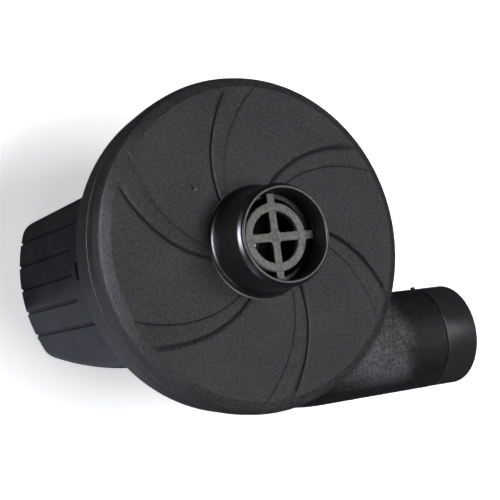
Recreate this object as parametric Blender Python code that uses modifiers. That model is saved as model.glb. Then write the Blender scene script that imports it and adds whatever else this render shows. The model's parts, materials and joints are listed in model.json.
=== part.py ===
"""A hand-held electric air pump: a centrifugal blower in a round casing, with its motor housing behind.

Metres, +Z up. The pump stands on the flat rear wall of its motor housing. The origin is on that wall, on
the motor's axis; +Z runs up the axis to the suction collar, and +X is the way the air leaves the outlet tube.
"""

import math

import bmesh
import bpy

MM = 0.001

# Clearances
GAP = 0.3 * MM
CUT = 1.0 * MM  # how far a cutter runs past the face it cuts

# Round casing
CASING_RADIUS = 57.0 * MM
CAVITY_RADIUS = 54.6 * MM
FACE_Z = 87.0 * MM
FACE_RADIUS = 50.5 * MM
SHOULDER_DROP = 7.0 * MM
SEAM_Z = 75.5 * MM
BACK_Z = 61.0 * MM
WALL = 2.4 * MM
CASING_STEPS = 60

# Suction collar and its grille
COLLAR_RADIUS = 16.0 * MM
COLLAR_BORE = 14.8 * MM
COLLAR_LEDGE = 13.2 * MM
COLLAR_Z = 104.7 * MM
COLLAR_FOOT = 2.6 * MM
GRILLE_Z = 97.5 * MM
GRILLE_THICKNESS = 2.4 * MM
GRILLE_RING_OUTER = 11.35 * MM
GRILLE_RING_INNER = 8.5 * MM
SPOKE_WIDTH = 2.8 * MM

# Outlet tube
TUBE_Y = -40.3 * MM
TUBE_Z = 66.0 * MM
TUBE_RADIUS = 19.0 * MM
TUBE_BORE = 16.8 * MM
TUBE_END_X = 86.7 * MM
RING_X = 74.0 * MM
SPIGOT_END_X = 85.0 * MM
TUBE_STEPS = 40

# Motor housing: a barrel with arched sides and flat top and bottom walls
HOUSING_HALF_WIDTH = 55.0 * MM
HOUSING_TOP = 22.5 * MM
HOUSING_BOTTOM = -30.0 * MM
HOUSING_CORNER = 10.0 * MM
HOUSING_EDGE = 2.0 * MM
HOUSING_WALL = 2.2 * MM
GRIP_GROOVE_PITCH = 8.7 * MM
GRIP_GROOVE_CENTRE = -2.8 * MM
GRIP_GROOVE_WIDTH = 1.0 * MM
GRIP_GROOVE_DEPTH = 0.7 * MM
VENT_COUNT = 6
VENT_PITCH = 4.4 * MM
VENT_WIDTH = 1.6 * MM
VENT_LENGTH = 18.0 * MM
VENT_Z = 14.0 * MM

# Fasteners
HEAD_RADIUS = 2.6 * MM
HEAD_HEIGHT = 1.8 * MM
SHANK_RADIUS = 1.3 * MM
SCREW_HOLE = 1.6 * MM
BOSS_RADIUS = 3.2 * MM
COLUMN_RADIUS = 3.9 * MM
WELL_RADIUS = 2.95 * MM
WELL_TOP = 46.0 * MM
HOUSING_SCREW_X = 19.5 * MM
HOUSING_SCREW_HIGH_Y = 15.5 * MM
HOUSING_SCREW_LOW_Y = -17.0 * MM
COVER_SCREW_RADIUS = 48.8 * MM
COVER_SCREW_DEGREES = (60, 120, 235, -10)

# Impeller
IMPELLER_RADIUS = 40.0 * MM
IMPELLER_Z = 69.5 * MM
PLATE_THICKNESS = 1.5 * MM
BLADE_TOP = 81.4 * MM
BLADE_COUNT = 8
BLADE_START = 15.0 * MM
BLADE_THICKNESS = 1.3 * MM
BLADE_SWEEP_DEGREES = 55
SHROUD_THICKNESS = 1.4 * MM
HUB_RADIUS = 4.8 * MM
HUB_BOTTOM = 66.2 * MM
HUB_TOP = 79.5 * MM

# Motor
SHAFT_RADIUS = 1.55 * MM
SHAFT_BOTTOM = 6.8 * MM
SHAFT_TOP = 81.0 * MM
CAN_RADIUS = 18.0 * MM
CAN_TOP = 60.7 * MM
CAN_BOTTOM = 13.0 * MM
CAN_WALL = 1.0 * MM
CAN_ROOF = 2.0 * MM
CAN_BOSS_TOP = 63.0 * MM
BUSHING_RADIUS = 3.4 * MM
BUSHING_SEAT = 3.7 * MM
END_BELL_RIM = 16.0 * MM
END_BELL_FLOOR = 12.2 * MM
END_BELL_BOTTOM = 10.0 * MM
END_BELL_BOSS_RADIUS = 6.0 * MM
END_BELL_BOSS_BOTTOM = 7.5 * MM
MAGNET_INNER = 14.2 * MM
MAGNET_BOTTOM = 22.0 * MM
MAGNET_TOP = 52.0 * MM
MAGNET_HALF_GAP = 5.5 * MM
MOTOR_BOSS_RADIUS = 6.3 * MM
MOTOR_SCREW_X = 12.5 * MM
ROTOR_RADIUS = 13.5 * MM
CORE_BOTTOM = 24.0 * MM
CORE_TOP = 50.0 * MM
SLOT_COUNT = 5
SLOT_RADIUS = 3.0 * MM
SLOT_PLACE = 9.2 * MM
SLOT_MOUTH = 1.6 * MM
COMMUTATOR_RADIUS = 4.6 * MM
COMMUTATOR_BOTTOM = 14.4 * MM
COMMUTATOR_TOP = 19.4 * MM

# Battery
CELL_RADIUS = 11.25 * MM
CELL_BOTTOM = 3.4 * MM
CELL_TOP = 46.2 * MM
CELL_X = 35.0 * MM
CELL_HIGH_Y = 7.7 * MM
CELL_LOW_Y = -15.5 * MM
STRAP_THICKNESS = 0.4 * MM

# Switch and charging socket, both in the top wall
PANEL_Z = 54.2 * MM
SWITCH_X = 33.0 * MM
SOCKET_X = -33.0 * MM
SOCKET_HOLE = 3.1 * MM
ROCKER_TILT_DEGREES = -9

for leftover in list(bpy.data.objects):
    bpy.data.objects.remove(leftover)

parts = bpy.data.collections.new("electric_air_pump")
tools = bpy.data.collections.new("cutters")
bpy.context.scene.collection.children.link(parts)
bpy.context.scene.collection.children.link(tools)


def material(name, color, roughness, metallic=0.0):
    new = bpy.data.materials.new(name)
    new.use_nodes = True
    shader = new.node_tree.nodes["Principled BSDF"]
    shader.inputs["Base Color"].default_value = (*color, 1.0)
    shader.inputs["Roughness"].default_value = roughness
    shader.inputs["Metallic"].default_value = metallic
    return new


BLACK_GRAIN = material("black_grain_plastic", (0.016, 0.016, 0.018), 0.55)
BLACK_SATIN = material("black_satin_plastic", (0.020, 0.020, 0.024), 0.38)
BLACK_GLOSS = material("black_gloss_plastic", (0.012, 0.012, 0.013), 0.2)
GREY_PLASTIC = material("grey_plastic", (0.17, 0.18, 0.18), 0.6)
BLACK_NYLON = material("black_nylon", (0.022, 0.022, 0.023), 0.5)
STEEL = material("steel", (0.55, 0.55, 0.56), 0.3, 1.0)
DARK_STEEL = material("dark_steel", (0.12, 0.12, 0.13), 0.4, 1.0)
COPPER = material("copper", (0.72, 0.35, 0.18), 0.35, 1.0)
BRONZE = material("bronze", (0.55, 0.36, 0.16), 0.45, 1.0)
CARBON = material("carbon", (0.03, 0.03, 0.03), 0.7)
FERRITE = material("ferrite", (0.06, 0.06, 0.065), 0.65)
CELL_SLEEVE = material("cell_sleeve", (0.05, 0.22, 0.12), 0.35)
RED_WIRE = material("red_wire", (0.5, 0.02, 0.02), 0.4)
BLACK_WIRE = material("black_wire", (0.015, 0.015, 0.015), 0.4)


# ---------------------------------------------------------------- making solids


def place(name, mesh, finish):
    """A new object: a part when it has a finish, and a hidden tool when it has none."""
    made = bpy.data.objects.new(name, mesh)
    if finish is None:
        tools.objects.link(made)
        made.hide_render = True
        made.display_type = "WIRE"
    else:
        parts.objects.link(made)
        mesh.materials.append(finish)
    return made


def smooth(mesh):
    mesh.shade_smooth()
    mesh.set_sharp_from_angle(angle=math.radians(35))


def turned(name, profile, finish=None, steps=32, centre=(0, 0, 0)):
    """A solid turned about a vertical axis; its profile runs down the outer side, then up any inner side."""
    on_axis = profile[0][0] == 0.0
    mesh = bpy.data.meshes.new(name)
    points = [(radius, 0.0, height) for radius, height in profile]
    edges = [(index, index + 1) for index in range(len(points) - 1)]
    if not on_axis:
        edges.append((len(points) - 1, 0))
    mesh.from_pydata(points, edges, [])
    made = place(name, mesh, finish)
    made.location = centre
    screw = made.modifiers.new("turn", "SCREW")
    screw.steps = steps
    screw.render_steps = steps
    screw.use_merge_vertices = True
    screw.merge_threshold = 0.00001
    made.data = bpy.data.meshes.new_from_object(made.evaluated_get(bpy.context.evaluated_depsgraph_get()))
    made.modifiers.clear()
    made.data.name = name
    smooth(made.data)
    return made


def disc(name, radius, low, high, finish=None, steps=24, centre=(0.0, 0.0)):
    """An upright cylinder from the height low to the height high."""
    profile = [(0.0, high), (radius, high), (radius, low), (0.0, low)]
    return turned(name, profile, finish, steps, (centre[0], centre[1], 0.0))


def ring(name, outer, inner, low, high, finish=None, steps=32, centre=(0.0, 0.0)):
    profile = [(outer, high), (outer, low), (inner, low), (inner, high)]
    return turned(name, profile, finish, steps, (centre[0], centre[1], 0.0))


def box(name, low, high, finish=None, round_edge=0.0):
    """A box between two opposite corners."""
    mesh = bpy.data.meshes.new(name)
    shape = bmesh.new()
    bmesh.ops.create_cube(shape, size=1.0)
    size = [far - near for near, far in zip(low, high)]
    bmesh.ops.scale(shape, vec=size, verts=shape.verts)
    shape.to_mesh(mesh)
    shape.free()
    made = place(name, mesh, finish)
    made.location = [(near + far) / 2 for near, far in zip(low, high)]
    if round_edge:
        bevel = made.modifiers.new("round", "BEVEL")
        bevel.width = round_edge
        bevel.segments = 2
    return made


def loft(name, rings, finish=None):
    """A closed solid through rings of points, lowest ring first, each counter-clockwise seen from above."""
    mesh = bpy.data.meshes.new(name)
    shape = bmesh.new()
    layers = [[shape.verts.new(point) for point in points] for points in rings]
    for lower, upper in zip(layers, layers[1:]):
        count = len(lower)
        for index in range(count):
            beside = (index + 1) % count
            shape.faces.new((lower[index], lower[beside], upper[beside], upper[index]))
    shape.faces.new(reversed(layers[0]))
    shape.faces.new(layers[-1])
    shape.to_mesh(mesh)
    shape.free()
    smooth(mesh)
    return place(name, mesh, finish)


def wire(name, points, radius, finish):
    """A round wire through the points, made a mesh with its end caps welded."""
    curve = bpy.data.curves.new(name, "CURVE")
    curve.dimensions = "3D"
    curve.bevel_depth = radius
    curve.bevel_resolution = 2
    curve.use_fill_caps = True
    spline = curve.splines.new("POLY")
    spline.points.add(len(points) - 1)
    for knot, point in zip(spline.points, points):
        knot.co = (*point, 1.0)
    guide = bpy.data.objects.new(name + "_guide", curve)
    tools.objects.link(guide)
    evaluated = guide.evaluated_get(bpy.context.evaluated_depsgraph_get())
    mesh = bpy.data.meshes.new_from_object(evaluated)
    shape = bmesh.new()
    shape.from_mesh(mesh)
    bmesh.ops.remove_doubles(shape, verts=shape.verts, dist=0.00001)
    bmesh.ops.recalc_face_normals(shape, faces=shape.faces)
    shape.to_mesh(mesh)
    shape.free()
    mesh.name = name
    mesh.materials.clear()
    smooth(mesh)
    bpy.data.objects.remove(guide)
    return place(name, mesh, finish)


def combine(target, operation, others):
    for other in others:
        step = target.modifiers.new(other.name, "BOOLEAN")
        step.operation = operation
        step.object = other
        step.solver = "EXACT"


def cut(target, *cutters):
    combine(target, "DIFFERENCE", cutters)


def join(target, *others):
    combine(target, "UNION", others)


def along_x(made, y, z):
    """Turns a solid made about the vertical axis so that its axis runs along +X at this height."""
    made.rotation_euler = (0.0, math.pi / 2, 0.0)
    made.location = (0.0, y, z)


def polar(radius, degrees):
    angle = math.radians(degrees)
    return (radius * math.cos(angle), radius * math.sin(angle))


# ---------------------------------------------------------------- round casing

COVER_SCREWS = [polar(COVER_SCREW_RADIUS, degrees) for degrees in COVER_SCREW_DEGREES]
HOUSING_SCREWS = [
    (HOUSING_SCREW_X, HOUSING_SCREW_HIGH_Y),
    (-HOUSING_SCREW_X, HOUSING_SCREW_HIGH_Y),
    (-HOUSING_SCREW_X, HOUSING_SCREW_LOW_Y),
    (HOUSING_SCREW_X, HOUSING_SCREW_LOW_Y),
]


def tube_profile(radius, end=TUBE_END_X, start=0.0):
    """The outlet tube's side from its open end back to its domed start, for a solid about its own axis."""
    side = [(radius, end), (radius, 25 * MM), (radius - 0.8 * MM, 12 * MM), (radius - 2.3 * MM, start)]
    dome = [(radius - 5.5 * MM, start - 6 * MM), (radius - 11 * MM, start - 10 * MM)]
    return [(0.0, end), *side, *dome, (0.0, start - 11.5 * MM)]


def front_cover():
    """The disc-shaped lid with its rounded shoulder and the suction collar."""
    shoulder = []
    for step in range(6):
        angle = math.radians(90 - 18 * step)
        across = FACE_RADIUS + (CASING_RADIUS - FACE_RADIUS) * math.cos(angle)
        shoulder.append((across, FACE_Z - SHOULDER_DROP + SHOULDER_DROP * math.sin(angle)))
    inside = FACE_Z - WALL
    profile = [
        (COLLAR_RADIUS, COLLAR_Z - 0.4 * MM),
        (COLLAR_RADIUS, FACE_Z + COLLAR_FOOT),
        (COLLAR_RADIUS + 0.25 * COLLAR_FOOT, FACE_Z + 0.4 * COLLAR_FOOT),
        (COLLAR_RADIUS + COLLAR_FOOT, FACE_Z),
        *shoulder,
        (CASING_RADIUS, SEAM_Z + GAP / 2),
        (CAVITY_RADIUS, SEAM_Z + GAP / 2),
        (CAVITY_RADIUS, FACE_Z - SHOULDER_DROP),
        (CAVITY_RADIUS - 1.5 * MM, inside - 1.6 * MM),
        (FACE_RADIUS - 1.0 * MM, inside),
        (COLLAR_LEDGE, inside),
        (COLLAR_LEDGE, GRILLE_Z - GRILLE_THICKNESS - GAP),
        (COLLAR_BORE, GRILLE_Z - GRILLE_THICKNESS - GAP),
        (COLLAR_BORE, COLLAR_Z),
        (COLLAR_RADIUS - 0.4 * MM, COLLAR_Z),
    ]
    cover = turned("front_cover", profile, BLACK_GRAIN, CASING_STEPS)
    boss_low = BACK_Z + WALL + GAP
    for index, spot in enumerate(COVER_SCREWS, 1):
        join(cover, disc(f"cover_boss_{index}", BOSS_RADIUS, boss_low, inside + CUT, None, 20, spot))
    for index, spot in enumerate(COVER_SCREWS, 1):
        cut(cover, disc(f"cover_pilot_{index}", SCREW_HOLE, BACK_Z, SEAM_Z, None, 12, spot))
    notch = turned("cover_tube_notch", tube_profile(TUBE_RADIUS + GAP, start=-GAP), None, TUBE_STEPS)
    along_x(notch, TUBE_Y, TUBE_Z)
    cut(cover, notch)


def inlet_grille():
    """A ring on a cross of four spokes, standing on the ledge in the collar's bore."""
    low = GRILLE_Z - GRILLE_THICKNESS
    grille = ring("inlet_grille", GRILLE_RING_OUTER, GRILLE_RING_INNER, low, GRILLE_Z, GREY_PLASTIC, 36)
    reach = COLLAR_BORE - GAP
    half = SPOKE_WIDTH / 2
    spoke_high = GRILLE_Z - 0.2 * MM
    join(
        grille,
        box("spoke_across", (-reach, -half, low), (reach, half, spoke_high)),
        box("spoke_upright", (-half, -reach, low - 0.1 * MM), (half, reach, spoke_high + 0.1 * MM)),
        disc("grille_hub", 2.5 * MM, low - 0.2 * MM, GRILLE_Z + 0.2 * MM, None, 20),
    )


def rear_shell():
    """The deep half of the casing, with the outlet tube and the wall that carries the motor."""
    floor = BACK_Z + WALL
    top = SEAM_Z - GAP / 2
    outside = [
        (0.0, top),
        (CASING_RADIUS, top),
        (CASING_RADIUS, BACK_Z + 4.5 * MM),
        (CASING_RADIUS - 0.8 * MM, BACK_Z + 2.0 * MM),
        (CASING_RADIUS - 2.2 * MM, BACK_Z + 0.6 * MM),
        (CASING_RADIUS - 4.2 * MM, BACK_Z),
        (0.0, BACK_Z),
    ]
    shell = turned("rear_shell", outside, BLACK_GRAIN, CASING_STEPS)
    tube = turned("tube_outside", tube_profile(TUBE_RADIUS, SPIGOT_END_X), None, TUBE_STEPS)
    along_x(tube, TUBE_Y, TUBE_Z)
    lug = box(
        "nozzle_lug_block",
        (69.5 * MM, TUBE_Y + TUBE_RADIUS - 1.5 * MM, TUBE_Z - 1.6 * MM),
        (72.5 * MM, TUBE_Y + TUBE_RADIUS + 1.2 * MM, TUBE_Z + 1.6 * MM),
    )
    join(shell, tube, lug)

    inside = [
        (0.0, COLLAR_Z),
        (CAVITY_RADIUS, COLLAR_Z),
        (CAVITY_RADIUS, floor + 2.6 * MM),
        (CAVITY_RADIUS - 0.6 * MM, floor + 0.9 * MM),
        (CAVITY_RADIUS - 2.4 * MM, floor),
        (0.0, floor),
    ]
    cut(shell, turned("cavity", inside, None, CASING_STEPS))
    for index, spot in enumerate(HOUSING_SCREWS, 1):
        join(shell, disc(f"shell_boss_{index}", BOSS_RADIUS, BACK_Z + CUT, floor + 4.4 * MM, None, 16, spot))

    bore = turned("tube_bore", tube_profile(TUBE_BORE, TUBE_END_X + CUT, 2.2 * MM), None, TUBE_STEPS)
    outer = TUBE_RADIUS + 2 * MM
    inner = TUBE_RADIUS - 1.1 * MM
    spigot = ring("spigot_step", outer, inner, RING_X - GAP, TUBE_END_X + CUT, None, TUBE_STEPS)
    for cutter in (bore, spigot):
        along_x(cutter, TUBE_Y, TUBE_Z)
        cut(shell, cutter)
    cut(shell, disc("motor_boss_hole", MOTOR_BOSS_RADIUS + GAP, BACK_Z - CUT, floor + CUT, None, 32))
    for index, spot in enumerate(HOUSING_SCREWS + COVER_SCREWS, 1):
        cut(shell, disc(f"shell_hole_{index}", SCREW_HOLE, BACK_Z - CUT, floor + 5.4 * MM, None, 12, spot))
    for side in (-1, 1):
        spot = (side * MOTOR_SCREW_X, 0.0)
        cut(shell, disc(f"motor_screw_hole_{side}", SCREW_HOLE, BACK_Z - CUT, floor + CUT, None, 12, spot))


def outlet_ring():
    """The smooth mouth ring pushed over the spigot at the end of the outlet tube."""
    profile = [
        (TUBE_RADIUS - 0.5 * MM, TUBE_END_X),
        (TUBE_RADIUS, TUBE_END_X - 0.5 * MM),
        (TUBE_RADIUS, RING_X + 0.3 * MM),
        (TUBE_RADIUS - 0.3 * MM, RING_X),
        (TUBE_RADIUS - 0.8 * MM, RING_X),
        (TUBE_RADIUS - 0.8 * MM, TUBE_END_X - 1.4 * MM),
        (TUBE_BORE, TUBE_END_X - 1.4 * MM),
        (TUBE_BORE, TUBE_END_X),
    ]
    along_x(turned("outlet_ring", profile, BLACK_SATIN, TUBE_STEPS), TUBE_Y, TUBE_Z)


# ---------------------------------------------------------------- impeller


def blade_outline(radius_low, radius_high, turn):
    """A backward-swept blade seen from above, counter-clockwise: one side outward, the other back."""
    sides = []
    for side in (-1, 1):
        points = []
        for step in range(7):
            share = step / 6
            radius = radius_low + (radius_high - radius_low) * share
            degrees = turn - BLADE_SWEEP_DEGREES * share**1.3
            across = math.degrees(side * BLADE_THICKNESS / 2 / radius)
            points.append(polar(radius, degrees + across))
        sides.append(points)
    return sides[0] + sides[1][::-1]


def blades():
    """All blades in one tool, each a closed body that reaches into the back plate."""
    shape = bmesh.new()
    for index in range(BLADE_COUNT):
        outline = blade_outline(BLADE_START, IMPELLER_RADIUS - 0.5 * MM, 360 * index / BLADE_COUNT)
        low = [shape.verts.new((*point, IMPELLER_Z + PLATE_THICKNESS / 2)) for point in outline]
        high = [shape.verts.new((*point, BLADE_TOP)) for point in outline]
        count = len(outline)
        for corner in range(count):
            beside = (corner + 1) % count
            shape.faces.new((low[corner], low[beside], high[beside], high[corner]))
        shape.faces.new(reversed(low))
        shape.faces.new(high)
    mesh = bpy.data.meshes.new("blades")
    shape.to_mesh(mesh)
    shape.free()
    return place("blades", mesh, None)


def impeller():
    """The open wheel: a hub, a back plate and its swept blades; a flat shroud lies over the blades."""
    bore = SHAFT_RADIUS + GAP
    plate = IMPELLER_Z + PLATE_THICKNESS
    profile = [
        (HUB_RADIUS - 1.4 * MM, HUB_TOP),
        (HUB_RADIUS - 0.2 * MM, HUB_TOP - 1.2 * MM),
        (HUB_RADIUS + 0.4 * MM, plate + 2.5 * MM),
        (HUB_RADIUS + 3.2 * MM, plate),
        (IMPELLER_RADIUS, plate),
        (IMPELLER_RADIUS, IMPELLER_Z),
        (HUB_RADIUS, IMPELLER_Z),
        (HUB_RADIUS, HUB_BOTTOM),
        (bore, HUB_BOTTOM),
        (bore, HUB_TOP),
    ]
    wheel = turned("impeller", profile, BLACK_NYLON, 40)
    join(wheel, blades())
    top = BLADE_TOP + GAP
    ring("impeller_shroud", IMPELLER_RADIUS, BLADE_START - MM, top, top + SHROUD_THICKNESS, BLACK_NYLON, 40)


# ---------------------------------------------------------------- motor


def motor_can():
    """The motor's steel can, with a boss round its shaft and two threaded holes for the mounting screws."""
    profile = [
        (MOTOR_BOSS_RADIUS, CAN_BOSS_TOP),
        (MOTOR_BOSS_RADIUS, CAN_TOP),
        (CAN_RADIUS, CAN_TOP),
        (CAN_RADIUS, CAN_BOTTOM),
        (CAN_RADIUS - CAN_WALL, CAN_BOTTOM),
        (CAN_RADIUS - CAN_WALL, CAN_TOP - CAN_ROOF),
        (BUSHING_SEAT, CAN_TOP - CAN_ROOF),
        (BUSHING_SEAT, CAN_BOSS_TOP),
    ]
    can = turned("motor_can", profile, STEEL, 32)
    hole_low = CAN_TOP - CAN_ROOF - CUT
    for side in (-1, 1):
        spot = (side * MOTOR_SCREW_X, 0.0)
        cut(can, disc(f"can_hole_{side}", SCREW_HOLE, hole_low, CAN_TOP + CUT, None, 12, spot))


def motor_end_bell():
    """The plastic end cap that carries the brushes and the rear bushing."""
    plug = CAN_RADIUS - CAN_WALL - GAP
    flange_top = CAN_BOTTOM - GAP
    profile = [
        (plug, END_BELL_RIM),
        (plug, flange_top),
        (CAN_RADIUS, flange_top),
        (CAN_RADIUS, END_BELL_BOTTOM),
        (END_BELL_BOSS_RADIUS, END_BELL_BOTTOM),
        (END_BELL_BOSS_RADIUS, END_BELL_BOSS_BOTTOM),
        (BUSHING_SEAT, END_BELL_BOSS_BOTTOM),
        (BUSHING_SEAT, END_BELL_FLOOR),
        (plug - 2.1 * MM, END_BELL_FLOOR),
        (plug - 2.1 * MM, END_BELL_RIM),
    ]
    turned("motor_end_bell", profile, BLACK_SATIN, 32)


def motor_magnets():
    """Two arc magnets against the inside of the can, with a gap between them above and below."""
    outer = CAN_RADIUS - CAN_WALL - GAP
    reach = CAN_RADIUS + CUT
    for side, name in ((-1, "left"), (1, "right")):
        magnet = ring(f"motor_magnet_{name}", outer, MAGNET_INNER, MAGNET_BOTTOM, MAGNET_TOP, FERRITE, 32)
        far = -side * reach
        near = side * MAGNET_HALF_GAP
        low = (min(far, near), -reach, MAGNET_BOTTOM - 2 * CUT)
        high = (max(far, near), reach, MAGNET_TOP + 2 * CUT)
        cut(magnet, box(f"magnet_cut_{name}", low, high))


def rotor():
    """Laminated core with slots, its winding, the commutator and the shaft."""
    bore = SHAFT_RADIUS + GAP
    core = ring("rotor_core", ROTOR_RADIUS, bore, CORE_BOTTOM, CORE_TOP, STEEL, 30)
    low = CORE_BOTTOM - CUT
    high = CORE_TOP + CUT
    middle = (CORE_BOTTOM + CORE_TOP) / 2
    for index in range(SLOT_COUNT):
        degrees = 90 + 360 * index / SLOT_COUNT
        cut(core, disc(f"slot_{index}", SLOT_RADIUS, low, high, None, 14, polar(SLOT_PLACE, degrees)))
        mouth_low = (SLOT_PLACE, -SLOT_MOUTH / 2, low)
        mouth_high = (ROTOR_RADIUS + CUT, SLOT_MOUTH / 2, high)
        mouth = box(f"slot_mouth_{index}", mouth_low, mouth_high)
        mouth.rotation_euler = (0.0, 0.0, math.radians(degrees))
        mouth.location = (*polar((SLOT_PLACE + ROTOR_RADIUS + CUT) / 2, degrees), middle)
        cut(core, mouth)

    end_turns = [
        (11.0 * MM, CORE_BOTTOM - 0.4 * MM),
        (12.4 * MM, CORE_BOTTOM - 1.8 * MM),
        (12.0 * MM, CORE_BOTTOM - 3.6 * MM),
        (5.6 * MM, CORE_BOTTOM - 3.6 * MM),
        (5.6 * MM, CORE_BOTTOM - 0.4 * MM),
    ]
    winding = turned("rotor_winding", end_turns, COPPER, 24)
    far_turns = [(across, 2 * middle - height) for across, height in reversed(end_turns)]
    join(winding, turned("far_end_turns", far_turns, None, 24))
    for index in range(SLOT_COUNT):
        spot = polar(SLOT_PLACE, 90 + 360 * index / SLOT_COUNT)
        coil_low = CORE_BOTTOM - 1.5 * MM
        coil_high = CORE_TOP + 1.5 * MM
        join(winding, disc(f"coil_side_{index}", SLOT_RADIUS - GAP, coil_low, coil_high, None, 12, spot))

    ring("commutator", COMMUTATOR_RADIUS, bore, COMMUTATOR_BOTTOM, COMMUTATOR_TOP, COPPER, 24)
    disc("motor_shaft", SHAFT_RADIUS, SHAFT_BOTTOM, SHAFT_TOP, STEEL, 20)


def side_block(name, side, span, half_width, heights, finish):
    """A block on one side of the motor's axis; span and heights are its near and far limits."""
    near, far = sorted(side * reach for reach in span)
    box(name, (near, -half_width, heights[0]), (far, half_width, heights[1]), finish)


def brushes_and_bushings():
    brush_span = (COMMUTATOR_RADIUS + GAP, 10.0 * MM)
    brush_heights = (COMMUTATOR_BOTTOM + 0.5 * MM, COMMUTATOR_TOP - 1.0 * MM)
    terminal_span = (8.0 * MM, 12.0 * MM)
    terminal_heights = (3.6 * MM, END_BELL_BOTTOM - GAP)
    for side, name in ((-1, "left"), (1, "right")):
        side_block(f"brush_{name}", side, brush_span, 1.8 * MM, brush_heights, CARBON)
        side_block(f"motor_terminal_{name}", side, terminal_span, 0.3 * MM, terminal_heights, COPPER)
    bore = SHAFT_RADIUS + GAP
    ring("bushing_front", BUSHING_RADIUS, bore, CAN_TOP - CAN_ROOF + 0.2 * MM, 62.8 * MM, BRONZE, 24)
    ring("bushing_rear", BUSHING_RADIUS, bore, END_BELL_BOSS_BOTTOM + 0.2 * MM, 12.0 * MM, BRONZE, 24)


# ---------------------------------------------------------------- motor housing


def arc(centre, radius, start, finish, count):
    """Points on an arc from the angle start to the angle finish, in radians, both ends included."""
    angles = [start + (finish - start) * step / count for step in range(count + 1)]
    return [(centre[0] + radius * math.cos(a), centre[1] + radius * math.sin(a)) for a in angles]


def barrel_outline(z, inset=0.0):
    """The housing's outline at a height: arched sides about the motor's axis, flat top and bottom."""
    share = z / BACK_Z
    top = HOUSING_TOP + 1.0 * MM * share
    bottom = HOUSING_BOTTOM - 13.5 * MM * share + 7.0 * MM * share**2
    corner = HOUSING_CORNER - inset
    reach = HOUSING_HALF_WIDTH - HOUSING_CORNER
    high_y = top - HOUSING_CORNER
    low_y = bottom + HOUSING_CORNER
    high_x = math.sqrt(reach**2 - high_y**2)
    low_x = math.sqrt(reach**2 - low_y**2)
    high_angle = math.atan2(high_y, high_x)
    low_angle = math.atan2(low_y, low_x)
    side = HOUSING_HALF_WIDTH - inset
    return (
        arc((0, 0), side, low_angle, high_angle, 7)[:-1]
        + arc((high_x, high_y), corner, high_angle, math.pi / 2, 4)
        + arc((-high_x, high_y), corner, math.pi / 2, math.pi - high_angle, 4)[:-1]
        + arc((0, 0), side, math.pi - high_angle, math.pi - low_angle, 7)[:-1]
        + arc((-low_x, low_y), corner, math.pi - low_angle, 1.5 * math.pi, 4)
        + arc((low_x, low_y), corner, 1.5 * math.pi, 2 * math.pi + low_angle, 4)[:-1]
    )


def barrel_ring(z, inset=0.0, outline_z=None):
    outline = barrel_outline(z if outline_z is None else outline_z, inset)
    return [(x, y, z) for x, y in outline]


def motor_housing():
    """A deep cup with screw columns, a cradle for the motor and grip grooves on both arched sides."""
    top = BACK_Z - GAP
    edge = HOUSING_EDGE
    rounded = [(0.0, edge), (edge * 0.293, edge * 0.293), (edge, 0.0)]
    heights = [top * step / 4 for step in range(1, 5)]
    outside = [barrel_ring(z, inset) for z, inset in rounded] + [barrel_ring(z) for z in heights]
    housing = loft("motor_housing", outside, BLACK_SATIN)
    floor = 2.4 * MM
    inner_heights = [floor + (top - floor) * step / 4 for step in range(5)]
    inside = [barrel_ring(z, HOUSING_WALL) for z in inner_heights]
    inside.append(barrel_ring(top + CUT, HOUSING_WALL, top))
    cut(housing, loft("housing_inside", inside))

    for index, spot in enumerate(HOUSING_SCREWS, 1):
        join(housing, disc(f"column_{index}", COLUMN_RADIUS, floor / 2, top - 0.2 * MM, None, 20, spot))
    join(housing, ring("motor_cradle", 20.4 * MM, CAN_RADIUS + 0.5 * MM, floor / 2, 14 * MM, None, 40))
    for index, spot in enumerate(HOUSING_SCREWS, 1):
        cut(housing, disc(f"well_{index}", WELL_RADIUS, -CUT, WELL_TOP, None, 20, spot))
        cut(housing, disc(f"column_hole_{index}", SCREW_HOLE, WELL_TOP - CUT, top + CUT, None, 12, spot))
    notch_low = (-23 * MM, -2.5 * MM, floor)
    notch_high = (23 * MM, 2.5 * MM, 15 * MM)
    cut(housing, box("cradle_notches", notch_low, notch_high))

    clear_of_tube = tube_profile(TUBE_RADIUS + 0.5 * MM, start=-0.5 * MM)
    tube = turned("housing_tube_scallop", clear_of_tube, None, TUBE_STEPS)
    along_x(tube, TUBE_Y, TUBE_Z)
    cut(housing, tube)
    switch_low = (SWITCH_X - 6.8 * MM, 15 * MM, PANEL_Z - 4.5 * MM)
    switch_high = (SWITCH_X + 6.8 * MM, 26 * MM, PANEL_Z + 4.5 * MM)
    cut(housing, box("switch_opening", switch_low, switch_high))
    socket = disc("socket_opening", 4.8 * MM, 18 * MM, 26 * MM, None, 24)
    socket.rotation_euler = (-math.pi / 2, 0.0, 0.0)
    socket.location = (SOCKET_X, 0.0, PANEL_Z)
    cut(housing, socket)
    seam_low = (-HOUSING_HALF_WIDTH - CUT, -5.2 * MM, top - 0.6 * MM)
    seam_high = (-HOUSING_HALF_WIDTH + HOUSING_WALL + CUT, -0.4 * MM, top + CUT)
    cut(housing, box("seam_slit", seam_low, seam_high))
    for number in range(VENT_COUNT):
        x = VENT_PITCH * (number - (VENT_COUNT - 1) / 2)
        vent_low = (x - VENT_WIDTH / 2, 18.5 * MM, VENT_Z)
        vent_high = (x + VENT_WIDTH / 2, 26.0 * MM, VENT_Z + VENT_LENGTH)
        cut(housing, box(f"vent_{number}", vent_low, vent_high))
    grip_grooves(housing)


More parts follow.
